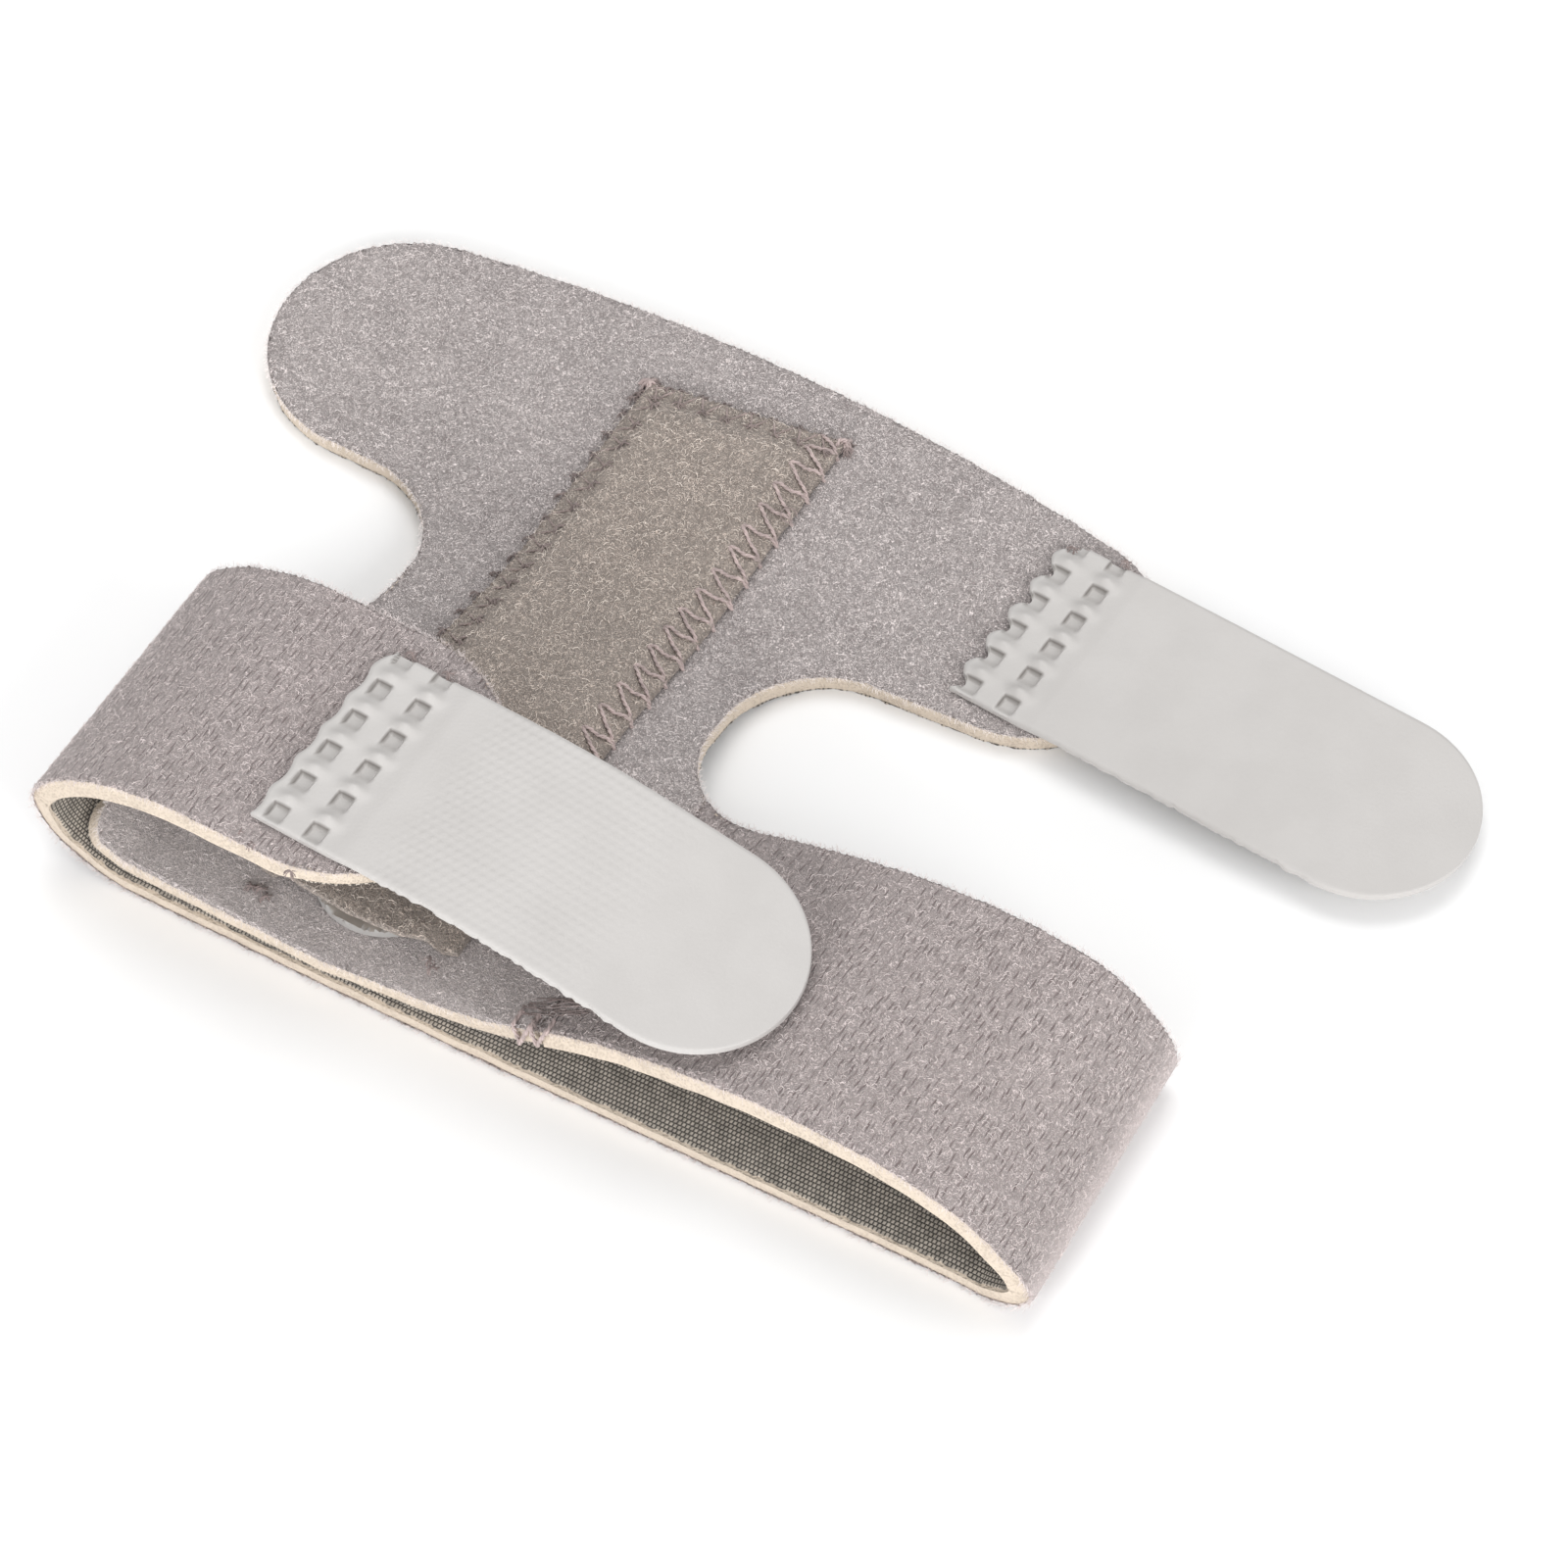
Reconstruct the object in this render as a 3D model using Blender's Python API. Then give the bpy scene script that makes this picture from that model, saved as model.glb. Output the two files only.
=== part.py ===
"""Bunion corrector that lies on a table: a toe wrap and a foot strap, both cut from one
laminate of nap cloth, foam and lining, with a splint stay in a pocket and two hook tabs.

Metres, +Z up. X runs along the foot strap and Y towards the toe arms. The origin is on the
table, under the middle of the strap's bottom layer.

Each soft piece is drawn as a flat pattern, made into a slab and bent by a function. A slab's
own coordinates are: along, across, and the height over its nap face.
"""

import math

import bmesh
import bpy
from mathutils import Vector

# Cloth and clearance
LAMINATE = 0.0029
CLEARANCE = 0.0003

# Foot strap, folded flat into a band with slack on both sides
STRAP_WIDTH = 0.0325
HUMP_LENGTH = 0.0596
HUMP_HEIGHT = 0.0170
FOLD_HEIGHT = 0.0218
TOP_RUN = 0.0480

# Toe wrap: a spine with two arms, over the strap at its lower end
SPINE_LEFT = -0.0509
SPINE_WIDTH = 0.0419
SEAM_FROM_SPINE = 0.0052
FOLD_FROM_SPINE = 0.0158
LOBE_END_FROM_FOLD = 0.0014
LOBE_CORNER = 0.0040
NOTCH_HEIGHT = 0.0284
NOTCH_RADIUS = 0.0129
LEFT_ARM_RADIUS = 0.0164
LEFT_ARM_SINK = 0.0010
LEFT_ARM_LENGTH = 0.0191
RIGHT_ARM_RADIUS = 0.0151
RIGHT_ARM_LIFT = 0.0008
RIGHT_ARM_LENGTH = 0.0235
TOP_ANGLE = math.radians(10.0)
LOBE_FRONT_DROP = 0.0010
RAMP_START = 0.0020
RAMP_LENGTH = 0.0250

# Pocket patch and the stay that it holds
PATCH_WIDTH = 0.0245
PATCH_OFFSET = 0.0010
PATCH_THICKNESS = 0.0010
PATCH_SLANT = 0.0036
PATCH_TOP_MARGIN = 0.0066
PATCH_MOUTH = 0.0062
STITCH_BAND = 0.0014
MOUTH_LIFT = 0.0006
MOUTH_DEPTH = 0.0120
STAY_WIDTH = 0.0165
STAY_THICKNESS = 0.0012
STAY_SHOWS = 0.0027
STAY_TOP_MARGIN = 0.0055

# Hook tabs
TAB_LENGTH = 0.0593
TAB_WIDTH = 0.0254
TAB_THICKNESS = 0.0011
PIT_SIZE = 0.0022
PIT_DEPTH = 0.0007
PIT_PITCH = 0.00468
PIT_COLUMN_PITCH = 0.0050
PITS_IN_COLUMN = 5
FIRST_PIT = 0.0015
TOE_TAB_LAP = 0.0178
TOE_TAB_YAW = math.radians(-3.8)
TOE_TAB_DROOP = 0.0003
TOE_PIT_INSET = 0.0017
FOOT_TAB_LAP = 0.0196
FOOT_TAB_YAW = math.radians(-2.0)
FOOT_TAB_OFFSET = -0.0012
FOOT_PIT_INSET = 0.0023

# Facets
LONG_STEP = 0.0030
CROSS_STEP = 0.0060
SPLINE_STEPS = 12
TOP_EDGE_PIECES = 12
REACH_PIECES = 8
ARC_STEP = math.radians(12.0)
PROBE = 0.0004
WRAP_PROBE = 0.0020

# Shapes of the strap's folds. Each row is a section across the band, from its front edge
# to its back edge. The shift moves the section along Y, as a share of the strap's width.
# (share of the hump's length, front height, back height, shift): the heights are shares
# of the way from the wrap's nap to the hump's top
HUMP_ROWS = (
    (-0.47, 0.00, 0.00, 0.00),
    (-0.21, 0.01, 0.00, 0.02),
    (-0.10, 0.09, 0.04, 0.04),
    (0.00, 0.29, 0.16, 0.05),
    (0.10, 0.50, 0.31, 0.06),
    (0.29, 0.80, 0.68, 0.06),
    (0.53, 0.97, 1.00, 0.06),
    (0.73, 0.91, 1.03, 0.06),
    (0.86, 0.68, 0.86, 0.06),
)
# (share of the hump's length, front height, back height, shift): shares of the hump's height
RIGHT_FOLD_ROWS = (
    (0.945, 0.56, 0.68, 0.06),
    (0.990, 0.36, 0.44, 0.06),
    (1.000, 0.23, 0.28, 0.06),
    (0.975, 0.09, 0.10, 0.055),
    (0.920, 0.01, 0.01, 0.05),
    (0.840, 0.00, 0.00, 0.05),
    (0.500, 0.00, 0.00, 0.03),
)
# (x as a share of the fold's place, front height, back height, shift): shares of the
# fold's height
LEFT_FOLD_ROWS = (
    (0.30, 0.00, 0.00, -0.02),
    (0.75, 0.00, 0.00, -0.04),
    (0.86, 0.02, 0.01, -0.045),
    (0.935, 0.15, 0.12, -0.05),
    (0.985, 0.34, 0.31, -0.05),
    (1.00, 0.48, 0.47, -0.04),
    (0.975, 0.63, 0.65, -0.03),
    (0.92, 0.77, 0.80, -0.02),
    (0.83, 0.91, 0.94, -0.02),
    (0.72, 0.99, 1.01, -0.02),
    (0.63, 1.00, 1.00, -0.02),
)

SPINE_RIGHT = SPINE_LEFT + SPINE_WIDTH
SEAM = SPINE_RIGHT + SEAM_FROM_SPINE
LEFT_FOLD = SPINE_LEFT - FOLD_FROM_SPINE
STACK = 2 * LAMINATE + CLEARANCE
HALF_STRAP = STRAP_WIDTH / 2
SEAM_SHIFT = next(shift for share, front, back, shift in HUMP_ROWS if share == 0) * STRAP_WIDTH
NOTCH_FOOT = HALF_STRAP + SEAM_SHIFT
ARM_FOOT = NOTCH_FOOT + NOTCH_HEIGHT
LEFT_ARM_CENTRE = (SPINE_LEFT - LEFT_ARM_LENGTH, ARM_FOOT - LEFT_ARM_SINK + LEFT_ARM_RADIUS)
RIGHT_ARM_CENTRE = (SPINE_RIGHT + RIGHT_ARM_LENGTH, ARM_FOOT + RIGHT_ARM_LIFT + RIGHT_ARM_RADIUS)


def clear_scene():
    """Remove what the file holds, so that the part starts from nothing."""
    for thing in list(bpy.data.objects):
        bpy.data.objects.remove(thing, do_unlink=True)


def smooth(share):
    """Ease from 0 to 1."""
    share = min(1.0, max(0.0, share))
    return share * share * (3 - 2 * share)


def mix(start, end, share):
    """The value a share of the way from start to end."""
    return start + (end - start) * share


# The band's path


def section_rows():
    """Sections of the whole band as (x, front height, back height, shift)."""
    rows = []
    for share, front, back, shift in HUMP_ROWS:
        rise = HUMP_HEIGHT - STACK
        rows.append((SEAM + share * HUMP_LENGTH, STACK + front * rise, STACK + back * rise, shift))
    for share, front, back, shift in RIGHT_FOLD_ROWS:
        rows.append((SEAM + share * HUMP_LENGTH, front * HUMP_HEIGHT, back * HUMP_HEIGHT, shift))
    for share, front, back, shift in LEFT_FOLD_ROWS:
        rows.append((share * LEFT_FOLD, front * FOLD_HEIGHT, back * FOLD_HEIGHT, shift))
    rows.append((LEFT_FOLD + TOP_RUN + CLEARANCE, FOLD_HEIGHT, FOLD_HEIGHT, rows[-1][3]))
    return [Vector((x, front, back, shift * STRAP_WIDTH)) for x, front, back, shift in rows]


def chord(start, end):
    """Distance between two sections, at the middle of the band."""
    return math.hypot(end[0] - start[0], (end[1] + end[2] - start[1] - start[2]) / 2)


def smooth_sections(rows):
    """Dense sections of a smooth curve through the rows."""
    lengths = [chord(a, b) for a, b in zip(rows, rows[1:])]
    slopes = [(b - a) / length for a, b, length in zip(rows, rows[1:], lengths)]
    tangents = [slopes[0]]
    for i in range(1, len(rows) - 1):
        share = lengths[i - 1] / (lengths[i - 1] + lengths[i])
        tangents.append(slopes[i - 1] * (1 - share) + slopes[i] * share)
    tangents.append(slopes[-1])
    dense = []
    for i, length in enumerate(lengths):
        for step in range(SPLINE_STEPS):
            t = step / SPLINE_STEPS
            section = (
                rows[i] * (2 * t**3 - 3 * t**2 + 1)
                + rows[i + 1] * (3 * t**2 - 2 * t**3)
                + tangents[i] * (length * (t**3 - 2 * t**2 + t))
                + tangents[i + 1] * (length * (t**3 - t**2))
            )
            floor = STACK if section[0] < SEAM and i < len(HUMP_ROWS) else 0.0
            section[1] = max(section[1], floor)
            section[2] = max(section[2], floor)
            dense.append(section)
    dense.append(rows[-1])
    return dense


class Band:
    """The path that the wrap's lower end and the strap share, measured along its nap."""

    def __init__(self):
        self.sections = smooth_sections(section_rows())
        self.along = [0.0]
        for start, end in zip(self.sections, self.sections[1:]):
            self.along.append(self.along[-1] + chord(start, end))
        self.seam = self.where(lambda start, end: start[0] <= SEAM < end[0])
        self.middle = self.where(lambda start, end: end[0] <= 0 < start[0])
        self.end = self.along[-1] - CLEARANCE

    def where(self, passes):
        """Distance along the band at which a span first passes the test, by its x."""
        for i, (start, end) in enumerate(zip(self.sections, self.sections[1:])):
            if passes(start, end):
                target = SEAM if start[0] < end[0] else 0.0
                share = (target - start[0]) / (end[0] - start[0])
                return mix(self.along[i], self.along[i + 1], share)
        raise ValueError("the band never gets there")

    def section(self, along):
        """The section at a distance along the band."""
        low = 0
        high = len(self.along) - 2
        while low < high:
            half = (low + high + 1) // 2
            if self.along[half] <= along:
                low = half
            else:
                high = half - 1
        share = (along - self.along[low]) / (self.along[low + 1] - self.along[low])
        return self.sections[low].lerp(self.sections[low + 1], share)

    def nap(self, along, across):
        """Point of the nap face."""
        x, front, back, shift = self.section(along)
        share = min(1.0, max(0.0, (across + HALF_STRAP) / STRAP_WIDTH))
        return Vector((x, across + shift, mix(front, back, share)))

    def rise(self, x, across):
        """Height of the nap on the stretch from the wrap over the hump, at a place x."""
        for start, end in zip(self.sections, self.sections[1:]):
            if start[0] <= x <= end[0]:
                section = start.lerp(end, (x - start[0]) / (end[0] - start[0]))
                share = min(1.0, max(0.0, (across + HALF_STRAP) / STRAP_WIDTH))
                return mix(section[1], section[2], share)
            if end[0] < start[0]:
                break
        return STACK


BAND = Band()


def offset(face, along, across, height, reach=PROBE):
    """Point at a height over a face, square to it."""
    point = face(along, across)
    run = face(along + reach, across) - face(along - reach, across)
    side = face(along, across + PROBE) - face(along, across - PROBE)
    return point + run.cross(side).normalized() * height


def strap_point(along, across, height):
    """Point of the foot strap. Along starts at the seam."""
    return offset(BAND.nap, BAND.seam + along, across, height)


def over_strap(x, y):
    """Point of the wrap's nap where it lies on the strap's bottom layer."""
    if x > SPINE_LEFT + SPINE_WIDTH / 2:
        return Vector((x, y, BAND.rise(x, y)))
    along = BAND.middle - x
    return offset(BAND.nap, along, y - BAND.section(along)[3], -STACK)


def wrap_nap(x, y):
    """Point of the wrap's nap: over the strap, down a ramp, then on the table."""
    share = smooth((y - NOTCH_FOOT - RAMP_START) / RAMP_LENGTH)
    return over_strap(x, y).lerp(Vector((x, y, LAMINATE)), share)


def wrap_point(x, y, height):
    """Point of the toe wrap, or of a piece on it."""
    return offset(wrap_nap, x, y, height, WRAP_PROBE)


# Patterns


def arc(centre, radius, start, end):
    """Points of an arc, with both ends."""
    count = max(2, math.ceil(abs(end - start) / ARC_STEP))
    angles = [mix(start, end, i / count) for i in range(count + 1)]
    return [(centre[0] + radius * math.cos(a), centre[1] + radius * math.sin(a)) for a in angles]


def top_edge():
    """The wrap's upper edge: a shallow curve that leaves both arms at the same angle."""
    quarter = math.pi / 2
    start = arc(RIGHT_ARM_CENTRE, RIGHT_ARM_RADIUS, 0, quarter - TOP_ANGLE)[-1]
    end = arc(LEFT_ARM_CENTRE, LEFT_ARM_RADIUS, 0, quarter + TOP_ANGLE)[-1]
    bow = (start[0] - end[0]) * math.tan(TOP_ANGLE) / 4
    points = []
    for i in range(1, TOP_EDGE_PIECES):
        share = i / TOP_EDGE_PIECES
        rise = bow * 4 * share * (1 - share)
        points.append((mix(start[0], end[0], share), mix(start[1], end[1], share) + rise))
    return points


def wrap_pattern():
    """Outline of the toe wrap, anticlockwise from the front end of the seam."""
    turn = math.pi / 2
    right = SPINE_RIGHT + NOTCH_RADIUS
    left = SPINE_LEFT - NOTCH_RADIUS
    edge = SEAM - CLEARANCE / 2
    lobe_end = LEFT_FOLD + LOBE_END_FROM_FOLD
    front = -HALF_STRAP - LOBE_FRONT_DROP
    seam_angle = 2 * turn + math.acos((right - edge) / NOTCH_RADIUS)
    lobe_angle = -math.acos((lobe_end + LOBE_CORNER - left) / NOTCH_RADIUS)
    outline = [(SPINE_LEFT + SPINE_WIDTH / 2, front), (edge, SEAM_SHIFT - HALF_STRAP)]
    outline += arc((right, NOTCH_FOOT + NOTCH_RADIUS), NOTCH_RADIUS, seam_angle, 2 * turn)
    outline += arc((right, ARM_FOOT - NOTCH_RADIUS), NOTCH_RADIUS, 2 * turn, turn)
    outline += arc(RIGHT_ARM_CENTRE, RIGHT_ARM_RADIUS, -turn, turn - TOP_ANGLE)
    outline += top_edge()
    outline += arc(LEFT_ARM_CENTRE, LEFT_ARM_RADIUS, turn + TOP_ANGLE, 3 * turn)
    arm_foot = LEFT_ARM_CENTRE[1] - LEFT_ARM_RADIUS
    outline += arc((left, arm_foot - NOTCH_RADIUS), NOTCH_RADIUS, turn, 0)
    outline += arc((left, HALF_STRAP + NOTCH_RADIUS), NOTCH_RADIUS, 0, lobe_angle)
    corner_top = outline[-1][1] - LOBE_CORNER
    outline += arc((lobe_end + LOBE_CORNER, corner_top), LOBE_CORNER, turn, 2 * turn)[1:]
    corner_foot = front + LOBE_CORNER
    outline += arc((lobe_end + LOBE_CORNER, corner_foot), LOBE_CORNER, 2 * turn, 3 * turn)
    return outline


def strap_pattern():
    """Outline of the foot strap, from the seam to its round end."""
    turn = math.pi / 2
    flare_centre = (NOTCH_RADIUS - SEAM_FROM_SPINE, HALF_STRAP + NOTCH_RADIUS)
    edge = CLEARANCE / 2
    flare = 2 * turn + math.acos((flare_centre[0] - edge) / NOTCH_RADIUS)
    tip = BAND.end - BAND.seam
    outline = [(edge, -HALF_STRAP)]
    outline += arc((tip - HALF_STRAP, 0.0), HALF_STRAP, -turn, turn)
    outline += arc(flare_centre, NOTCH_RADIUS, 3 * turn, flare)
    return outline


def patch_sides():
    """Left, right, foot and top of the pocket patch."""
    middle = SPINE_LEFT + SPINE_WIDTH / 2 + PATCH_OFFSET
    foot = PATCH_MOUTH - HALF_STRAP
    top = RIGHT_ARM_CENTRE[1] + RIGHT_ARM_RADIUS + TOP_ANGLE * SPINE_WIDTH / 2 - PATCH_TOP_MARGIN
    return middle - PATCH_WIDTH / 2, middle + PATCH_WIDTH / 2, foot, top


def patch_pattern():
    """Outline of the pocket patch, whose upper edge slants."""
    left, right, foot, top = patch_sides()
    return [(left, foot), (right, foot), (right, top), (left, top - PATCH_SLANT)]


def stay_pattern():
    """Outline of the splint stay, a strip with round ends."""
    left, right, foot, top = patch_sides()
    middle = (left + right) / 2
    radius = STAY_WIDTH / 2
    low = foot - STAY_SHOWS + radius
    high = top - PATCH_SLANT / 2 - STAY_TOP_MARGIN - radius
    return arc((middle, low), radius, math.pi, 2 * math.pi) + arc((middle, high), radius, 0, math.pi)


def tab_pattern():
    """Outline of a hook tab, a strip with a round end."""
    half = TAB_WIDTH / 2
    corners = [(0.0, half), (0.0, -half)]
    return corners + arc((TAB_LENGTH - half, 0.0), half, -math.pi / 2, math.pi / 2)


def pit_centres(pit_inset, rows):
    """Middles of the pits of a tab in the given rows, counted from its front edge."""
    centres = []
    for column in range(2):
        for row in rows:
            across = FIRST_PIT + row * PIT_PITCH - TAB_WIDTH / 2
            centres.append((pit_inset + column * PIT_COLUMN_PITCH, across))
    return centres


# Slabs


def cuts(low, high, step, through):
    """Places at a fixed step that pass through a given place, inside a span."""
    first = math.ceil((low - through) / step)
    last = math.floor((high - through) / step)
    return [through + i * step for i in range(first, last + 1)]


def in_pit(face, centre):
    """Whether a face of a flat pattern lies in the square pit at the centre."""
    middle = face.calc_center_median()
    return max(abs(middle.x - centre[0]), abs(middle.y - centre[1])) < PIT_SIZE / 2


def slab(outline, low, high, along_cuts, across_cuts, open_pits=()):
    """A flat closed slab with the outline, cut at the places where it will bend."""
    mesh = bmesh.new()
    mesh.faces.new([mesh.verts.new((x, y, low)) for x, y in outline])
    for normal, places in (((1, 0, 0), along_cuts), ((0, 1, 0), across_cuts)):
        for place in places:
            everything = mesh.verts[:] + mesh.edges[:] + mesh.faces[:]
            point = Vector(normal) * place
            bmesh.ops.bisect_plane(mesh, geom=everything, plane_co=point, plane_no=normal, dist=1e-6)
    gone = [face for face in mesh.faces for centre in open_pits if in_pit(face, centre)]
    bmesh.ops.delete(mesh, geom=gone, context="FACES")
    bmesh.ops.triangulate(mesh, faces=mesh.faces[:])
    grown = bmesh.ops.extrude_face_region(mesh, geom=mesh.faces[:])["geom"]
    for vert in (item for item in grown if isinstance(item, bmesh.types.BMVert)):
        vert.co.z = high
    bmesh.ops.recalc_face_normals(mesh, faces=mesh.faces[:])
    return mesh


def press_pits(mesh, centres, top):
    """Sink a square pit into a slab's upper face at each centre."""
    for centre in centres:
        inside = [face for face in mesh.faces if face.normal.z > 0.5 and in_pit(face, centre)]
        edges = list({edge for face in inside for edge in face.edges})
        grown = bmesh.ops.extrude_face_region(mesh, geom=inside + edges)["geom"]
        for vert in (item for item in grown if isinstance(item, bmesh.types.BMVert)):
            vert.co.z = top - PIT_DEPTH


def make_object(name, mesh, place, look):
    """Bend a slab by its place function and add it to the scene as a named object."""
    for vert in mesh.verts:
        vert.co = place(*vert.co)
    bmesh.ops.triangulate(mesh, faces=mesh.faces[:])
    data = bpy.data.meshes.new(name)
    mesh.to_mesh(data)
    mesh.free()
    data.materials.append(look)
    piece = bpy.data.objects.new(name, data)
    bpy.context.scene.collection.objects.link(piece)
    return piece


def material(name, colour, roughness):
    """A plain material."""
    look = bpy.data.materials.new(name)
    look.use_nodes = True
    shader = look.node_tree.nodes["Principled BSDF"]
    shader.inputs["Base Color"].default_value = (*colour, 1.0)
    shader.inputs["Roughness"].default_value = roughness
    shader.inputs["Metallic"].default_value = 0.0
    return look


# Pieces


def toe_wrap():
    """Spine and arms, with the lobe and the stub that lie on the strap."""
    outline = wrap_pattern()
    left = min(x for x, y in outline)
    right = max(x for x, y in outline)
    foot = min(y for x, y in outline)
    top = max(y for x, y in outline)
    along = cuts(left, right, LONG_STEP, 0.0)
    across = cuts(foot, top, CROSS_STEP, NOTCH_FOOT)
    mesh = slab(outline, -LAMINATE, 0.0, along, across)
    return make_object("toe_wrap", mesh, wrap_point, material("wrap_cloth", (0.42, 0.37, 0.36), 0.95))


def foot_strap():
    """The band from the seam over the hump, under everything and back over the left."""
    outline = strap_pattern()
    tip = max(along for along, across in outline)
    along = cuts(0.0, tip, LONG_STEP, BAND.middle - BAND.seam)
    across = [-HALF_STRAP / 2, 0.0, HALF_STRAP / 2]
    mesh = slab(outline, -LAMINATE, 0.0, along, across)
    look = material("strap_cloth", (0.40, 0.35, 0.34), 0.95)
    return make_object("foot_strap", mesh, strap_point, look)


def pocket_lift(x, y):
    """Height of the pocket's inside over the nap: stitched down at its sides and top."""
    left, right, foot, top = patch_sides()
    side = min(x - left, right - x)
    slope = PATCH_SLANT * (right - x) / PATCH_WIDTH
    margin = (PATCH_WIDTH - STAY_WIDTH) / 2
    rise = smooth((side - STITCH_BAND) / (margin - STITCH_BAND - CLEARANCE))
    rise *= smooth((top - slope - y - STITCH_BAND) / (STAY_TOP_MARGIN - STITCH_BAND))
    mouth = MOUTH_LIFT * smooth(1 - (y - foot) / MOUTH_DEPTH)
    return CLEARANCE + rise * (STAY_THICKNESS + CLEARANCE + mouth)


def splint_pocket():
    """The patch that holds the stay, open at its lower end."""
    left, right, foot, top = patch_sides()
    margin = (PATCH_WIDTH - STAY_WIDTH) / 2
    half = (left + right) / 2
    edges = [STITCH_BAND, (STITCH_BAND + margin) / 2, margin - CLEARANCE]
    along = [left + edge for edge in edges] + [half] + [right - edge for edge in edges]
    across = cuts(foot, top, CROSS_STEP, NOTCH_FOOT)
    across += [top - PATCH_SLANT - STAY_TOP_MARGIN, foot + MOUTH_DEPTH / 4]
    across.append(top - PATCH_SLANT - (STITCH_BAND + STAY_TOP_MARGIN) / 2)
    mesh = slab(patch_pattern(), 0.0, PATCH_THICKNESS, along, across)
    look = material("pocket_cloth", (0.30, 0.27, 0.24), 0.95)

    def place(x, y, height):
        return wrap_point(x, y, height + pocket_lift(x, y))

    return make_object("splint_pocket", mesh, place, look)


def splint_stay():
    """The plastic strip in the pocket, whose round end shows at the mouth."""
    outline = stay_pattern()
    foot = min(y for x, y in outline)
    top = max(y for x, y in outline)
    across = cuts(foot, top, CROSS_STEP, NOTCH_FOOT)
    mesh = slab(outline, CLEARANCE, CLEARANCE + STAY_THICKNESS, [], across)
    return make_object("splint_stay", mesh, wrap_point, material("stay_plastic", (0.6, 0.61, 0.6), 0.3))


def hook_tab(name, pit_inset, place):
    """A hook tab with its weld pits, bent by its place function."""
    centres = pit_centres(pit_inset, range(PITS_IN_COLUMN))
    open_pits = pit_centres(pit_inset, [PITS_IN_COLUMN])
    half = PIT_SIZE / 2
    along = sorted({x + side for x, y in centres for side in (-half, half)})
    along += cuts(along[-1] + half, TAB_LENGTH, LONG_STEP, 0.0)
    across = sorted({y + side for x, y in centres + open_pits for side in (-half, half)})
    mesh = slab(tab_pattern(), 0.0, TAB_THICKNESS, along, across, open_pits)
    press_pits(mesh, centres, TAB_THICKNESS)
    return make_object(name, mesh, place, material(name + "_plastic", (0.68, 0.66, 0.64), 0.5))


def turned(along, across, yaw):
    """A place of a tab's pattern, turned about the middle of its welded end."""
    x = along * math.cos(yaw) - across * math.sin(yaw)
    return x, along * math.sin(yaw) + across * math.cos(yaw)


def toe_tab():
    """The tab on the right arm, which reaches out level and sinks a little at its tip."""
    tip = RIGHT_ARM_CENTRE[0] + RIGHT_ARM_RADIUS
    base = Vector((tip - TOE_TAB_LAP, RIGHT_ARM_CENTRE[1], LAMINATE + CLEARANCE))

    def place(along, across, height):
        x, y = turned(along, across, TOE_TAB_YAW)
        droop = TOE_TAB_DROOP * smooth((along - TOE_TAB_LAP) / (TAB_LENGTH - TOE_TAB_LAP))
        return base + Vector((x, y, height - droop))

    return hook_tab("toe_tab", TOE_PIT_INSET, place)


def foot_tab():
    """The tab on the strap's end, which reaches down until its tip lies on the hump."""
    tip = LEFT_FOLD + TOP_RUN
    base = Vector((tip - FOOT_TAB_LAP, FOOT_TAB_OFFSET, FOLD_HEIGHT + CLEARANCE))
    reach = [base.x + TAB_LENGTH * i / REACH_PIECES for i in range(REACH_PIECES + 1)]
    crest = max(BAND.rise(x, side) for x in reach for side in (-HALF_STRAP, HALF_STRAP))
    drop = FOLD_HEIGHT - crest - CLEARANCE

    def place(along, across, height):
        x, y = turned(along, across, FOOT_TAB_YAW)
        share = max(0.0, (along - FOOT_TAB_LAP) / (TAB_LENGTH - FOOT_TAB_LAP))
        return base + Vector((x, y, height - drop * share * share * (2 - share)))

    return hook_tab("foot_tab", FOOT_PIT_INSET, place)


def main():
    clear_scene()
    toe_wrap()
    foot_strap()
    splint_pocket()
    splint_stay()
    toe_tab()
    foot_tab()


main()
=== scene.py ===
"""Looks of the bunion corrector: brushed cloth on foam, a stitched pocket and two hook tabs.

Metres, in the frame of the part's source. X runs along the foot strap, Y towards the toe
arms and Z up. The origin is on the table, under the middle of the strap's bottom layer.
Each cloth piece is cut as a flat pattern and bent by the same functions as its solid.
"""

import bisect
import math
import random

import bmesh
import bpy
import numpy as np
from mathutils import Matrix, Vector, kdtree, noise


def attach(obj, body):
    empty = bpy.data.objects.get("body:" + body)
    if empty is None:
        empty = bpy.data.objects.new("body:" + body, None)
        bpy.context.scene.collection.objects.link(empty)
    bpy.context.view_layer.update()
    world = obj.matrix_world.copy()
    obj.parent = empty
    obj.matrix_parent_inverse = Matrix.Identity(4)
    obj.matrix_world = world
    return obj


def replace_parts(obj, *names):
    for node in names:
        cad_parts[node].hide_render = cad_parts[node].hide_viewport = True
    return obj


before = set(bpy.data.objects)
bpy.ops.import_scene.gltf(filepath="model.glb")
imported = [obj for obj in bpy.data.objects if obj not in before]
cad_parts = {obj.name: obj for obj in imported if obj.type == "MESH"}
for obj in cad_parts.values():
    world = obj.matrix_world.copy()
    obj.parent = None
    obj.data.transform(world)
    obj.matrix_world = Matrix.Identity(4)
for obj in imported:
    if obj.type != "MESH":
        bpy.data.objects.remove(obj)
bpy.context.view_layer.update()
MM = 0.001

# Cloth and clearance
LAMINATE = 0.0029
CLEARANCE = 0.0003
NAP = 0.0004
LINING = 0.0002

# Foot strap, folded flat into a band with slack on both sides
STRAP_WIDTH = 0.0325
HUMP_LENGTH = 0.0596
HUMP_HEIGHT = 0.0170
FOLD_HEIGHT = 0.0218
TOP_RUN = 0.0480

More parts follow.
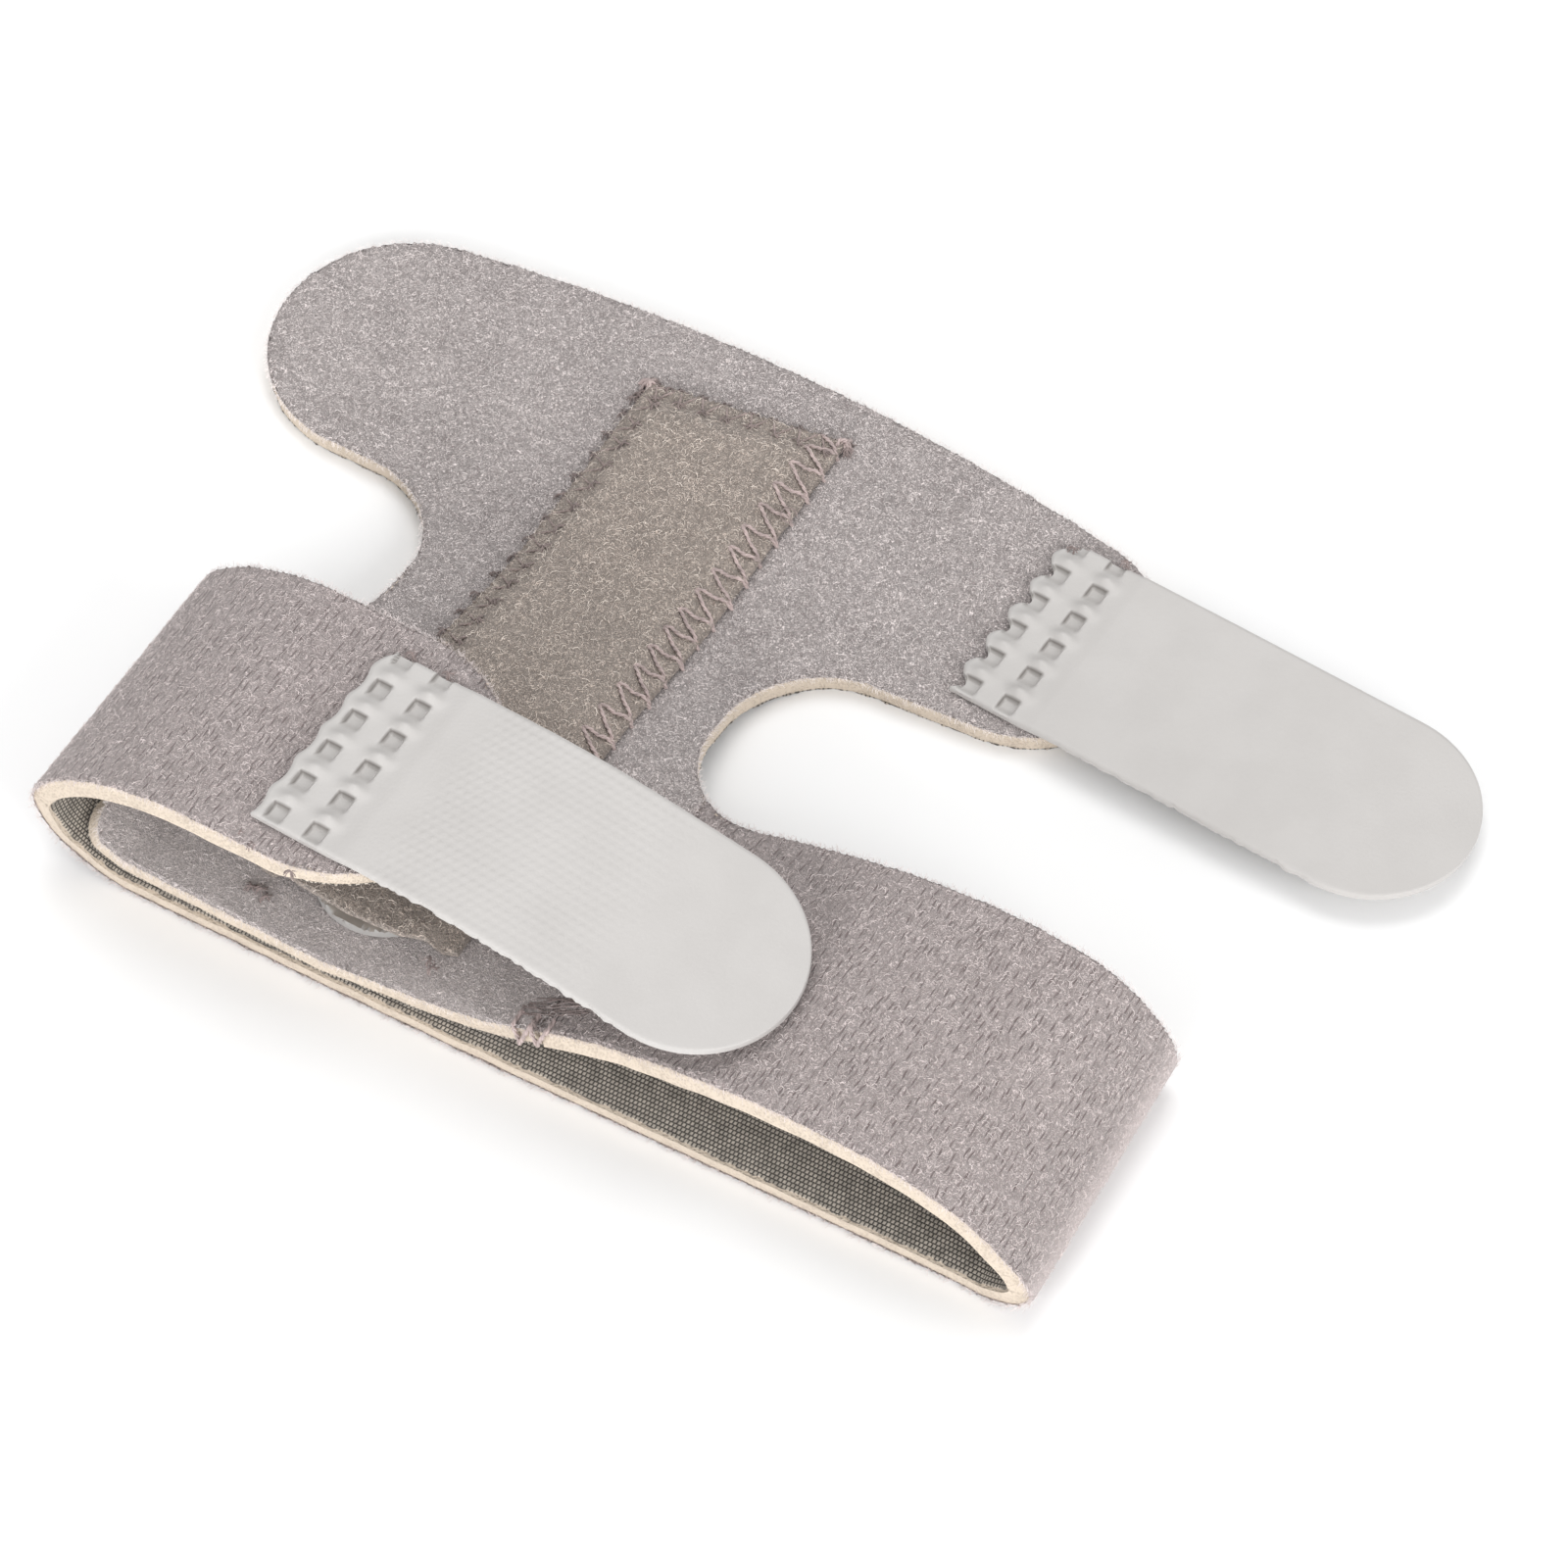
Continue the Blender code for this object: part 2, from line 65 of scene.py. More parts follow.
# Toe wrap: a spine with two arms, over the strap at its lower end
SPINE_LEFT = -0.0509
SPINE_WIDTH = 0.0419
SEAM_FROM_SPINE = 0.0052
FOLD_FROM_SPINE = 0.0158
LOBE_END_FROM_FOLD = 0.0014
LOBE_CORNER = 0.0040
NOTCH_HEIGHT = 0.0284
NOTCH_RADIUS = 0.0129
LEFT_ARM_RADIUS = 0.0164
LEFT_ARM_SINK = 0.0010
LEFT_ARM_LENGTH = 0.0191
RIGHT_ARM_RADIUS = 0.0151
RIGHT_ARM_LIFT = 0.0008
RIGHT_ARM_LENGTH = 0.0235
TOP_ANGLE = math.radians(10.0)
LOBE_FRONT_DROP = 0.0010
RAMP_START = 0.0020
RAMP_LENGTH = 0.0250

# Pocket patch and the stay that it holds
PATCH_WIDTH = 0.0245
PATCH_OFFSET = 0.0010
PATCH_THICKNESS = 0.0010
PATCH_SLANT = 0.0036
PATCH_TOP_MARGIN = 0.0066
PATCH_MOUTH = 0.0062
STITCH_BAND = 0.0014
MOUTH_LIFT = 0.0006
MOUTH_DEPTH = 0.0120
STAY_WIDTH = 0.0165
STAY_THICKNESS = 0.0012
STAY_SHOWS = 0.0027
STAY_TOP_MARGIN = 0.0055

# Hook tabs
TAB_LENGTH = 0.0593
TAB_WIDTH = 0.0254
TAB_THICKNESS = 0.0011
PIT_SIZE = 0.0022
PIT_PITCH = 0.00468
PIT_COLUMN_PITCH = 0.0050
PITS_IN_COLUMN = 5
FIRST_PIT = 0.0015
TOE_TAB_LAP = 0.0178
TOE_TAB_YAW = math.radians(-3.8)
TOE_TAB_DROOP = 0.0003
TOE_PIT_INSET = 0.0017
FOOT_TAB_LAP = 0.0196
FOOT_TAB_YAW = math.radians(-2.0)
FOOT_TAB_OFFSET = -0.0012
FOOT_PIT_INSET = 0.0023

# Facets
SPLINE_STEPS = 12
ARC_STEP = math.radians(4.0)
TOP_EDGE_PIECES = 24
PROBE = 0.0004
WRAP_PROBE = 0.0020
EDGE_STEP = 0.0006
CUT_TOLERANCE = 1e-6
SHARP = math.radians(48)
WRAP_STEPS = (1.0 * MM, 1.0 * MM)
STRAP_STEPS = (0.9 * MM, 1.6 * MM)
PATCH_STEPS = (0.9 * MM, 0.9 * MM)
STAY_STEPS = (0.7 * MM, 0.7 * MM)

# Cloth looks
ROUND_EDGE = 0.40 * MM
ROUND_NAP = 0.45 * MM
FOLD_REACH = 0.0050
FOLD_BEND = 0.45
SLANT = 0.00045
SLANT_REACH = 0.0006
FURROW_TURN = math.radians(8)
FURROW_BEND = (0.0006, 0.0006, 0)
FURROW_SCALE = (1450, 500, 1)
FURROW_SHAPE = (5.6, 2.2, 0)
KNIT_SCALE = (1750, 1850, 1)
# Painted light: how much paler the wrap's lobe is painted where the strap overhangs it
LOBE_PAINTED_LIGHT = 0.55
MOUTH_REACH = (0.0010, 0.0018, 0.0022, 0.0018, -0.0002)
LAMINATE_FIBRES = 10500
FUZZ_STEP = 0.07 * MM
POCKET_FIBRES = 4600
# Colours of each nap: (pale, deep, fibre)
WRAP_NAP = ((0.92, 0.83, 0.81), (0.27, 0.225, 0.22), (0.89, 0.825, 0.81))
STRAP_NAP = ((0.745, 0.65, 0.635), (0.17, 0.13, 0.125), (0.78, 0.70, 0.685))
POCKET_NAP = ((0.70, 0.59, 0.515), (0.25, 0.20, 0.17), (0.88, 0.79, 0.71))
STRAP_EVENNESS = 0.32
# Noises of a nap: (scale, detail, distortion, low, high, weight)
NAP_NOISES = (
    (3300, 3.0, 2.2, 0.40, 0.60, 0.66),
    (1300, 2.0, 1.2, 0.34, 0.66, 0.26),
    (110, 2.0, 0.4, 0.30, 0.70, 0.08),
)

# Threads: their two plies as shares of the radius, their radii, and their needle holes
PLY_RADIUS = 0.62
PLY_SWING = 0.5
PLY_PITCH = 7
SEAM_THREAD = 0.27 * MM
STITCH_THREAD = 0.22 * MM
SUNK_THREAD = 0.15 * MM
TACK_THREAD = 0.10 * MM
WRAP_END_THREAD = 0.09 * MM
POCKET_END_THREAD = 0.085 * MM
STRAP_END_THREAD = 0.075 * MM
STITCH_PITCH = 3.55 * MM
TOP_PITCH = 3.0 * MM
NEEDLE_DEPTH = 0.5 * MM

# Hook tab details
PIT_STEEP = 0.18 * MM
PIT_SHRINK = 0.10 * MM
TAB_RIM = 0.35 * MM
TAB_SUNK = 0.22 * MM
LUMP_HEIGHT = 0.66 * MM
LUMP_LENGTH = 1.25 * MM
LUMP_WIDTH = 0.80 * MM
PIT_FLOOR = 0.24 * MM
DOT_PITCH = 1.1 * MM
DOT_HEIGHT = 0.115 * MM
DOT_RADIUS = 0.38 * MM
TIP_LINES = 30
HOOK_PITCH = 1.3 * MM
HOOK_ROOT = 0.34 * MM

# Camera, lights and floor
LENS = 101.25
SENSOR = 36
VIEW_TURN = math.radians(30.08)
VIEW_HEIGHT = math.radians(55.4)
VIEW_DISTANCE = 0.4935
VIEW_TARGET = (0, 0.031, 0)
SKY_STRENGTH = 0.56
FLOOR_COLOUR = (0.93, 0.93, 0.93, 1)
# (name, place, target, size, power)
LIGHTS = (
    ("key", (-0.20, 0.40, 0.90), (0, 0.02, 0), 0.6, 4.0),
    ("right", (0.85, -0.25, 0.45), (0, 0.02, 0), 0.5, 4.8),
    ("front", (-0.05, -0.95, 0.34), (0, 0.0, 0), 0.6, 6.4),
)

# (share of the hump's length, front height, back height, shift)
HUMP_ROWS = (
    (-0.47, 0.00, 0.00, 0.00),
    (-0.21, 0.01, 0.00, 0.02),
    (-0.10, 0.09, 0.04, 0.04),
    (0.00, 0.29, 0.16, 0.05),
    (0.10, 0.50, 0.31, 0.06),
    (0.29, 0.80, 0.68, 0.06),
    (0.53, 0.97, 1.00, 0.06),
    (0.73, 0.91, 1.03, 0.06),
    (0.86, 0.68, 0.86, 0.06),
)
# (share of the hump's length, front height, back height, shift)
RIGHT_FOLD_ROWS = (
    (0.945, 0.56, 0.68, 0.06),
    (0.990, 0.36, 0.44, 0.06),
    (1.000, 0.23, 0.28, 0.06),
    (0.975, 0.09, 0.10, 0.055),
    (0.920, 0.01, 0.01, 0.05),
    (0.840, 0.00, 0.00, 0.05),
    (0.500, 0.00, 0.00, 0.03),
)
# (x as a share of the fold's place, front height, back height, shift)
LEFT_FOLD_ROWS = (
    (0.30, 0.00, 0.00, -0.02),
    (0.75, 0.00, 0.00, -0.04),
    (0.86, 0.02, 0.01, -0.045),
    (0.935, 0.15, 0.12, -0.05),
    (0.985, 0.34, 0.31, -0.05),
    (1.00, 0.48, 0.47, -0.04),
    (0.975, 0.63, 0.65, -0.03),
    (0.92, 0.77, 0.80, -0.02),
    (0.83, 0.91, 0.94, -0.02),
    (0.72, 0.99, 1.01, -0.02),
    (0.63, 1.00, 1.00, -0.02),
)

SPINE_RIGHT = SPINE_LEFT + SPINE_WIDTH
SPINE_MIDDLE = SPINE_LEFT + SPINE_WIDTH / 2
SEAM = SPINE_RIGHT + SEAM_FROM_SPINE
LEFT_FOLD = SPINE_LEFT - FOLD_FROM_SPINE
STACK = 2 * LAMINATE + CLEARANCE
HALF_STRAP = STRAP_WIDTH / 2
SEAM_SHIFT = HUMP_ROWS[3][3] * STRAP_WIDTH
NOTCH_FOOT = HALF_STRAP + SEAM_SHIFT
ARM_FOOT = NOTCH_FOOT + NOTCH_HEIGHT
LEFT_ARM_CENTRE = (SPINE_LEFT - LEFT_ARM_LENGTH, ARM_FOOT - LEFT_ARM_SINK + LEFT_ARM_RADIUS)
RIGHT_ARM_CENTRE = (SPINE_RIGHT + RIGHT_ARM_LENGTH, ARM_FOOT + RIGHT_ARM_LIFT + RIGHT_ARM_RADIUS)
PATCH_MIDDLE = SPINE_MIDDLE + PATCH_OFFSET
PATCH_LEFT = PATCH_MIDDLE - PATCH_WIDTH / 2
PATCH_RIGHT = PATCH_MIDDLE + PATCH_WIDTH / 2
PATCH_FOOT = PATCH_MOUTH - HALF_STRAP
ARM_TOP = RIGHT_ARM_CENTRE[1] + RIGHT_ARM_RADIUS
PATCH_TOP = ARM_TOP + TOP_ANGLE * SPINE_WIDTH / 2 - PATCH_TOP_MARGIN


def clamped(share):
    """A share kept from 0 to 1."""
    return min(1.0, max(0.0, share))


def smooth(share):
    """Ease from 0 to 1."""
    share = clamped(share)
    return share * share * (3 - 2 * share)


def mix(start, end, share):
    """The value a share of the way from start to end."""
    return start + (end - start) * share


def between(start, end, share):
    """The place a share of the way from one place of a pattern to another."""
    return mix(start[0], end[0], share), mix(start[1], end[1], share)


def edges(outline):
    """Each corner of an outline with the next one."""
    return zip(outline, outline[1:] + outline[:1])


def hermite(start, end, start_slope, end_slope, t):
    """Point of the smooth curve between two points with given slopes."""
    return (
        start * (2 * t**3 - 3 * t**2 + 1)
        + end * (3 * t**2 - 2 * t**3)
        + start_slope * (t**3 - 2 * t**2 + t)
        + end_slope * (t**3 - t**2)
    )


def across_share(across):
    """How far a place is from the band's front edge to its back edge."""
    return clamped((across + HALF_STRAP) / STRAP_WIDTH)


# The band's path, as in the part's source


def section_rows():
    """Sections of the whole band as (x, front height, back height, shift)."""
    rows = []
    for share, front, back, shift in HUMP_ROWS:
        rise = HUMP_HEIGHT - STACK
        rows.append((SEAM + share * HUMP_LENGTH, STACK + front * rise, STACK + back * rise, shift))
    for share, front, back, shift in RIGHT_FOLD_ROWS:
        rows.append((SEAM + share * HUMP_LENGTH, front * HUMP_HEIGHT, back * HUMP_HEIGHT, shift))
    for share, front, back, shift in LEFT_FOLD_ROWS:
        rows.append((share * LEFT_FOLD, front * FOLD_HEIGHT, back * FOLD_HEIGHT, shift))
    rows.append((LEFT_FOLD + TOP_RUN + CLEARANCE, FOLD_HEIGHT, FOLD_HEIGHT, rows[-1][3]))
    return [Vector((x, front, back, shift * STRAP_WIDTH)) for x, front, back, shift in rows]


def chord(start, end):
    """Distance between two sections, at the middle of the band."""
    return math.hypot(end[0] - start[0], (end[1] + end[2] - start[1] - start[2]) / 2)


def smooth_sections(rows):
    """Dense sections of a smooth curve through the rows."""
    lengths = [chord(a, b) for a, b in zip(rows, rows[1:])]
    slopes = [(b - a) / length for a, b, length in zip(rows, rows[1:], lengths)]
    tangents = [slopes[0]]
    for i in range(1, len(rows) - 1):
        share = lengths[i - 1] / (lengths[i - 1] + lengths[i])
        tangents.append(slopes[i - 1] * (1 - share) + slopes[i] * share)
    tangents.append(slopes[-1])
    dense = []
    for i, length in enumerate(lengths):
        slopes = tangents[i] * length, tangents[i + 1] * length
        for step in range(SPLINE_STEPS):
            section = hermite(rows[i], rows[i + 1], *slopes, step / SPLINE_STEPS)
            floor = STACK if section[0] < SEAM and i < len(HUMP_ROWS) else 0.0
            section[1] = max(section[1], floor)
            section[2] = max(section[2], floor)
            dense.append(section)
    dense.append(rows[-1])
    return dense


class Band:
    """The path that the wrap's lower end and the strap share, measured along its nap."""

    def __init__(self):
        self.sections = smooth_sections(section_rows())
        self.along = [0.0]
        for start, end in zip(self.sections, self.sections[1:]):
            self.along.append(self.along[-1] + chord(start, end))
        rising = 1
        while self.sections[rising][0] > self.sections[rising - 1][0]:
            rising += 1
        self.rising_x = [section[0] for section in self.sections[:rising]]
        self.seam = self.where(lambda start, end: start[0] <= SEAM < end[0], SEAM)
        self.middle = self.where(lambda start, end: end[0] <= 0 < start[0], 0.0)
        self.end = self.along[-1] - CLEARANCE

    def where(self, passes, target):
        """Distance along the band at which a span first passes the test, by its x."""
        for i, (start, end) in enumerate(zip(self.sections, self.sections[1:])):
            if passes(start, end):
                share = (target - start[0]) / (end[0] - start[0])
                return mix(self.along[i], self.along[i + 1], share)
        raise ValueError("the band never gets there")

    def section(self, along):
        """The section at a distance along the band."""
        low = min(max(bisect.bisect_right(self.along, along) - 1, 0), len(self.along) - 2)
        share = (along - self.along[low]) / (self.along[low + 1] - self.along[low])
        return self.sections[low].lerp(self.sections[low + 1], share)

    def nap(self, along, across):
        """Point of the nap face."""
        x, front, back, shift = self.section(along)
        return Vector((x, across + shift, mix(front, back, across_share(across))))

    def rise(self, x, across):
        """Height of the nap on the stretch from the wrap over the hump, at a place x."""
        if not self.rising_x[0] <= x < self.rising_x[-1]:
            return STACK
        low = bisect.bisect_right(self.rising_x, x) - 1
        start = self.sections[low]
        end = self.sections[low + 1]
        section = start.lerp(end, (x - start[0]) / (end[0] - start[0]))
        return mix(section[1], section[2], across_share(across))


BAND = Band()


def offset(face, along, across, height, reach=PROBE):
    """Point at a height over a face, square to it."""
    point = face(along, across)
    run = face(along + reach, across) - face(along - reach, across)
    side = face(along, across + PROBE) - face(along, across - PROBE)
    return point + run.cross(side).normalized() * height


def strap_point(along, across, height):
    """Point of the foot strap. Along starts at the seam."""
    return offset(BAND.nap, BAND.seam + along, across, height)


def lobe_painted_light(x, y):
    """How far a place of the wrap is towards its lobe's front, where its nap is painted paler:
    painted light where the strap overhangs it.
    """
    return LOBE_PAINTED_LIGHT * smooth(-y / HALF_STRAP)


def fold_share(along, across):
    """How sharply the strap's nap is bent at a place along it, from 0 to 1."""
    here = BAND.nap(BAND.seam + along, 0)
    ahead = (BAND.nap(BAND.seam + along + FOLD_REACH, 0) - here).normalized()
    behind = (here - BAND.nap(BAND.seam + along - FOLD_REACH, 0)).normalized()
    return smooth((1 - ahead.dot(behind)) / FOLD_BEND)


def over_strap(x, y):
    """Point of the wrap's nap where it lies on the strap's bottom layer."""
    if x > SPINE_MIDDLE:
        return Vector((x, y, BAND.rise(x, y)))
    along = BAND.middle - x
    return offset(BAND.nap, along, y - BAND.section(along)[3], -STACK)


def wrap_nap(x, y):
    """Point of the wrap's nap: over the strap, down a ramp, then on the table."""
    share = smooth((y - NOTCH_FOOT - RAMP_START) / RAMP_LENGTH)
    if share == 1.0:
        return Vector((x, y, LAMINATE))
    return over_strap(x, y).lerp(Vector((x, y, LAMINATE)), share)


def wrap_point(x, y, height):
    """Point of the toe wrap, or of a piece on it."""
    return offset(wrap_nap, x, y, height, WRAP_PROBE)


def seam_point(past, y, height):
    """Point over the seam: on the strap past the seam, and else on the wrap."""
    if past > 0:
        return strap_point(past, y - SEAM_SHIFT, height)
    return wrap_point(SEAM + past, y, height)


# Patterns, as in the part's source


def arc(centre, radius, start, end):
    """Points of an arc, with both ends."""
    count = max(2, math.ceil(abs(end - start) / ARC_STEP))
    angles = [mix(start, end, i / count) for i in range(count + 1)]
    return [(centre[0] + radius * math.cos(a), centre[1] + radius * math.sin(a)) for a in angles]


def top_edge():
    """The wrap's upper edge: a shallow curve that leaves both arms at the same angle."""
    quarter = math.pi / 2
    start = arc(RIGHT_ARM_CENTRE, RIGHT_ARM_RADIUS, 0, quarter - TOP_ANGLE)[-1]
    end = arc(LEFT_ARM_CENTRE, LEFT_ARM_RADIUS, 0, quarter + TOP_ANGLE)[-1]
    bow = (start[0] - end[0]) * math.tan(TOP_ANGLE) / 4
    points = []
    for i in range(1, TOP_EDGE_PIECES):
        share = i / TOP_EDGE_PIECES
        x, y = between(start, end, share)
        points.append((x, y + bow * 4 * share * (1 - share)))
    return points


def wrap_pattern():
    """Outline of the toe wrap, anticlockwise from the front end of the seam."""
    turn = math.pi / 2
    right = SPINE_RIGHT + NOTCH_RADIUS
    left = SPINE_LEFT - NOTCH_RADIUS
    edge = SEAM - CLEARANCE / 2
    lobe_end = LEFT_FOLD + LOBE_END_FROM_FOLD
    front = -HALF_STRAP - LOBE_FRONT_DROP
    seam_angle = 2 * turn + math.acos((right - edge) / NOTCH_RADIUS)
    lobe_angle = -math.acos((lobe_end + LOBE_CORNER - left) / NOTCH_RADIUS)
    outline = [(SPINE_MIDDLE, front), (edge, SEAM_SHIFT - HALF_STRAP)]
    outline += arc((right, NOTCH_FOOT + NOTCH_RADIUS), NOTCH_RADIUS, seam_angle, 2 * turn)
    outline += arc((right, ARM_FOOT - NOTCH_RADIUS), NOTCH_RADIUS, 2 * turn, turn)
    outline += arc(RIGHT_ARM_CENTRE, RIGHT_ARM_RADIUS, -turn, turn - TOP_ANGLE)
    outline += top_edge()
    outline += arc(LEFT_ARM_CENTRE, LEFT_ARM_RADIUS, turn + TOP_ANGLE, 3 * turn)
    arm_foot = LEFT_ARM_CENTRE[1] - LEFT_ARM_RADIUS
    outline += arc((left, arm_foot - NOTCH_RADIUS), NOTCH_RADIUS, turn, 0)
    outline += arc((left, HALF_STRAP + NOTCH_RADIUS), NOTCH_RADIUS, 0, lobe_angle)
    corner_top = outline[-1][1] - LOBE_CORNER
    outline += arc((lobe_end + LOBE_CORNER, corner_top), LOBE_CORNER, turn, 2 * turn)[1:]
    outline += arc((lobe_end + LOBE_CORNER, front + LOBE_CORNER), LOBE_CORNER, 2 * turn, 3 * turn)
    return outline


def strap_pattern():
    """Outline of the foot strap, from the seam to its round end."""
    turn = math.pi / 2
    flare_centre = (NOTCH_RADIUS - SEAM_FROM_SPINE, HALF_STRAP + NOTCH_RADIUS)
    edge = CLEARANCE / 2
    flare = 2 * turn + math.acos((flare_centre[0] - edge) / NOTCH_RADIUS)
    tip = BAND.end - BAND.seam
    outline = [(edge, -HALF_STRAP)]
    outline += arc((tip - HALF_STRAP, 0.0), HALF_STRAP, -turn, turn)
    outline += arc(flare_centre, NOTCH_RADIUS, 3 * turn, flare)
    return outline


def patch_edge(x):
    """The patch's slanting upper edge, at a place across it."""
    return PATCH_TOP - PATCH_SLANT * (PATCH_RIGHT - x) / PATCH_WIDTH


def patch_pattern():
    """Outline of the pocket patch, whose upper edge slants."""
    last = len(MOUTH_REACH) - 1
    places = [mix(PATCH_LEFT, PATCH_RIGHT, i / last) for i in range(last + 1)]
    mouth = [(x, PATCH_FOOT - reach) for x, reach in zip(places, MOUTH_REACH)]
    return mouth + [(PATCH_RIGHT, PATCH_TOP), (PATCH_LEFT, PATCH_TOP - PATCH_SLANT)]


def stay_pattern():
    """Outline of the splint stay, a strip with round ends."""
    radius = STAY_WIDTH / 2
    low = PATCH_FOOT - STAY_SHOWS + radius
    high = PATCH_TOP - PATCH_SLANT / 2 - STAY_TOP_MARGIN - radius
    outline = arc((PATCH_MIDDLE, low), radius, math.pi, 2 * math.pi)
    return outline + arc((PATCH_MIDDLE, high), radius, 0, math.pi)


def pocket_lift(x, y):
    """Height of the pocket's inside over the nap: stitched down at its sides and top."""
    side = min(x - PATCH_LEFT, PATCH_RIGHT - x)
    margin = (PATCH_WIDTH - STAY_WIDTH) / 2
    rise = smooth((side - STITCH_BAND) / (margin - STITCH_BAND - CLEARANCE))
    rise *= smooth((patch_edge(x) - y - STITCH_BAND) / (STAY_TOP_MARGIN - STITCH_BAND))
    mouth = MOUTH_LIFT * smooth(1 - (y - PATCH_FOOT) / MOUTH_DEPTH)
    return CLEARANCE + rise * (STAY_THICKNESS + CLEARANCE + mouth)


def pocket_point(x, y, height):
    """Point of the pocket patch, whose height starts at its inner face."""
    return wrap_point(x, y, height + pocket_lift(x, y))


def pocket_top(x, y, height):
    """Point over the pocket's upper face, and beside the pocket over the wrap's nap."""
    from_edge = min(x - PATCH_LEFT, PATCH_RIGHT - x, patch_edge(x) - y)
    share = smooth(from_edge / STITCH_BAND + 0.5)
    return wrap_point(x, y, height + share * (pocket_lift(x, y) + PATCH_THICKNESS))


# Cloth pieces


def waver(x, y, pitch, seed):
    """A smooth random number between -1 and 1, about as far apart as the pitch."""
    return noise.noise(Vector((x / pitch, y / pitch, seed)))


def trimmed(outline, grow, ragged, pitch, seed):
    """A dense outline, grown outwards by a size that wavers along the cut."""
    dense = []
    for start, end in edges(outline):
        count = max(1, math.ceil(math.dist(start, end) / EDGE_STEP))
        dense += [between(start, end, i / count) for i in range(count)]
    points = []
    for i, (x, y) in enumerate(dense):
        before = dense[i - 1]
        after = dense[(i + 1) % len(dense)]
        length = max(math.dist(before, after), PROBE / 10)
        reach = (grow + ragged * waver(x, y, pitch, seed)) / length
        points.append((x + (after[1] - before[1]) * reach, y - (after[0] - before[0]) * reach))
    return points


def cut_sheet(outline, along_step, across_step):
    """A flat sheet with the outline, cut at fixed steps where it will bend."""
    mesh = bmesh.new()
    mesh.faces.new([mesh.verts.new((x, y, 0)) for x, y in outline])
    for axis, step in ((0, along_step), (1, across_step)):
        low, high = limits(outline, axis)
        normal = Vector((1 - axis, axis, 0))
        for i in range(math.ceil(low / step), math.floor(high / step) + 1):
            bmesh.ops.bisect_plane(
                mesh,
                geom=mesh.verts[:] + mesh.edges[:] + mesh.faces[:],
                plane_co=normal * i * step,
                plane_no=normal,
                dist=CUT_TOLERANCE,
            )
    return mesh


def thickened(mesh):
    """Give a flat sheet a lower face at height 0 and an upper one at 1, and a flat UV map."""
    bmesh.ops.triangulate(mesh, faces=[face for face in mesh.faces if len(face.verts) > 4])
    grown = bmesh.ops.extrude_face_region(mesh, geom=mesh.faces[:])["geom"]
    for vert in (item for item in grown if isinstance(item, bmesh.types.BMVert)):
        vert.co.z = 1.0
    bmesh.ops.recalc_face_normals(mesh, faces=mesh.faces[:])
    flat = mesh.loops.layers.uv.new("pattern")
    for face in mesh.faces:
        for loop in face.loops:
            loop[flat].uv = loop.vert.co.xy
    return mesh


def mesh_data(name, mesh):
    """Mesh data made from an editing mesh, which is freed."""
    data = bpy.data.meshes.new(name)
    mesh.to_mesh(data)
    mesh.free()
    return data


def new_object(name, data):
    """An object linked to the scene."""
    made = bpy.data.objects.new(name, data)
    bpy.context.scene.collection.objects.link(made)
    return made


def add_piece(name, data, look):
    """Add mesh data as a named piece with its material and slot."""
    data.polygons.foreach_set("use_smooth", [True] * len(data.polygons))
    data.set_sharp_from_angle(angle=SHARP)
    data.materials.append(look)
    piece = new_object(name, data)
    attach(piece, "root")
    return piece


def edge_finder(outline):
    """A function that gives a place's distance from an outline."""
    tree = kdtree.KDTree(len(outline))
    for i, (x, y) in enumerate(outline):
        tree.insert((x, y, 0), i)
    tree.balance()
    return lambda x, y: tree.find((x, y, 0))[2]


def cloth_layer(
    name, outline, heights, steps, place, look,
    round_edge=0.0, relief=None, mark=None, slant=0.0,
):
    """One layer of cloth or foam, bent by its place function."""
    mesh = thickened(cut_sheet(outline, *steps))
    gap = edge_finder(outline)
    stretch_and_painted_light = mesh.verts.layers.float.new("stretch_and_painted_light")
    for vert in mesh.verts:
        x, y, share = vert.co
        height = mix(*heights, share)
        # The mark is a paler share: the strap's nap stretched over its folds, and painted light on
        # the wrap's lobe
        if mark:
            vert[stretch_and_painted_light] = mark(x, y)
        y -= slant * (1 - share) * (1 - smooth((y + HALF_STRAP) / SLANT_REACH))
        if share > 0.5 and round_edge:
            short = max(0.0, 1 - gap(x, y) / round_edge)
            height -= round_edge * (1 - math.sqrt(max(0.0, 1 - short * short)))
        if share > 0.5 and relief:
            height += relief(x, y)
        vert.co = place(x, y, height)
    return add_piece(name, mesh_data(name, mesh), look)


def limits(outline, axis):
    """Lowest and highest place of an outline along an axis."""
    values = [point[axis] for point in outline]
    return min(values), max(values)


# Fibres and threads


def curl_shape(radius, turn, thickness, lift):
    """A short curled fibre that lies on the nap, as points and faces. Its sizes are in mm."""
    radius, thickness, lift = radius * MM, thickness * MM, lift * MM
    mesh = bmesh.new()
    ring = bmesh.ops.create_circle(mesh, segments=3, radius=thickness / 2, cap_ends=True)["verts"]
    bmesh.ops.rotate(mesh, verts=ring, matrix=Matrix.Rotation(math.pi / 2, 3, "Y"))
    everything = mesh.verts[:] + mesh.edges[:] + mesh.faces[:]
    bmesh.ops.spin(
        mesh, geom=everything, cent=(0, radius, 0), axis=(0, 0, 1), angle=turn, steps=2
    )
    bmesh.ops.recalc_face_normals(mesh, faces=mesh.faces[:])
    bmesh.ops.triangulate(mesh, faces=mesh.faces[:])
    for vert in mesh.verts:
        angle = math.atan2(vert.co.x, radius - vert.co.y)
        vert.co.z += lift * math.sin(math.pi * min(1.0, abs(angle / turn))) - lift / 4
    return shape_of(mesh)


def shape_of(mesh):
    """Points and triangles of a small mesh, to be copied many times."""
    mesh.verts.index_update()
    points = np.array([vert.co for vert in mesh.verts])
    faces = np.array([[vert.index for vert in face.verts] for face in mesh.faces])
    mesh.free()
    return points, faces


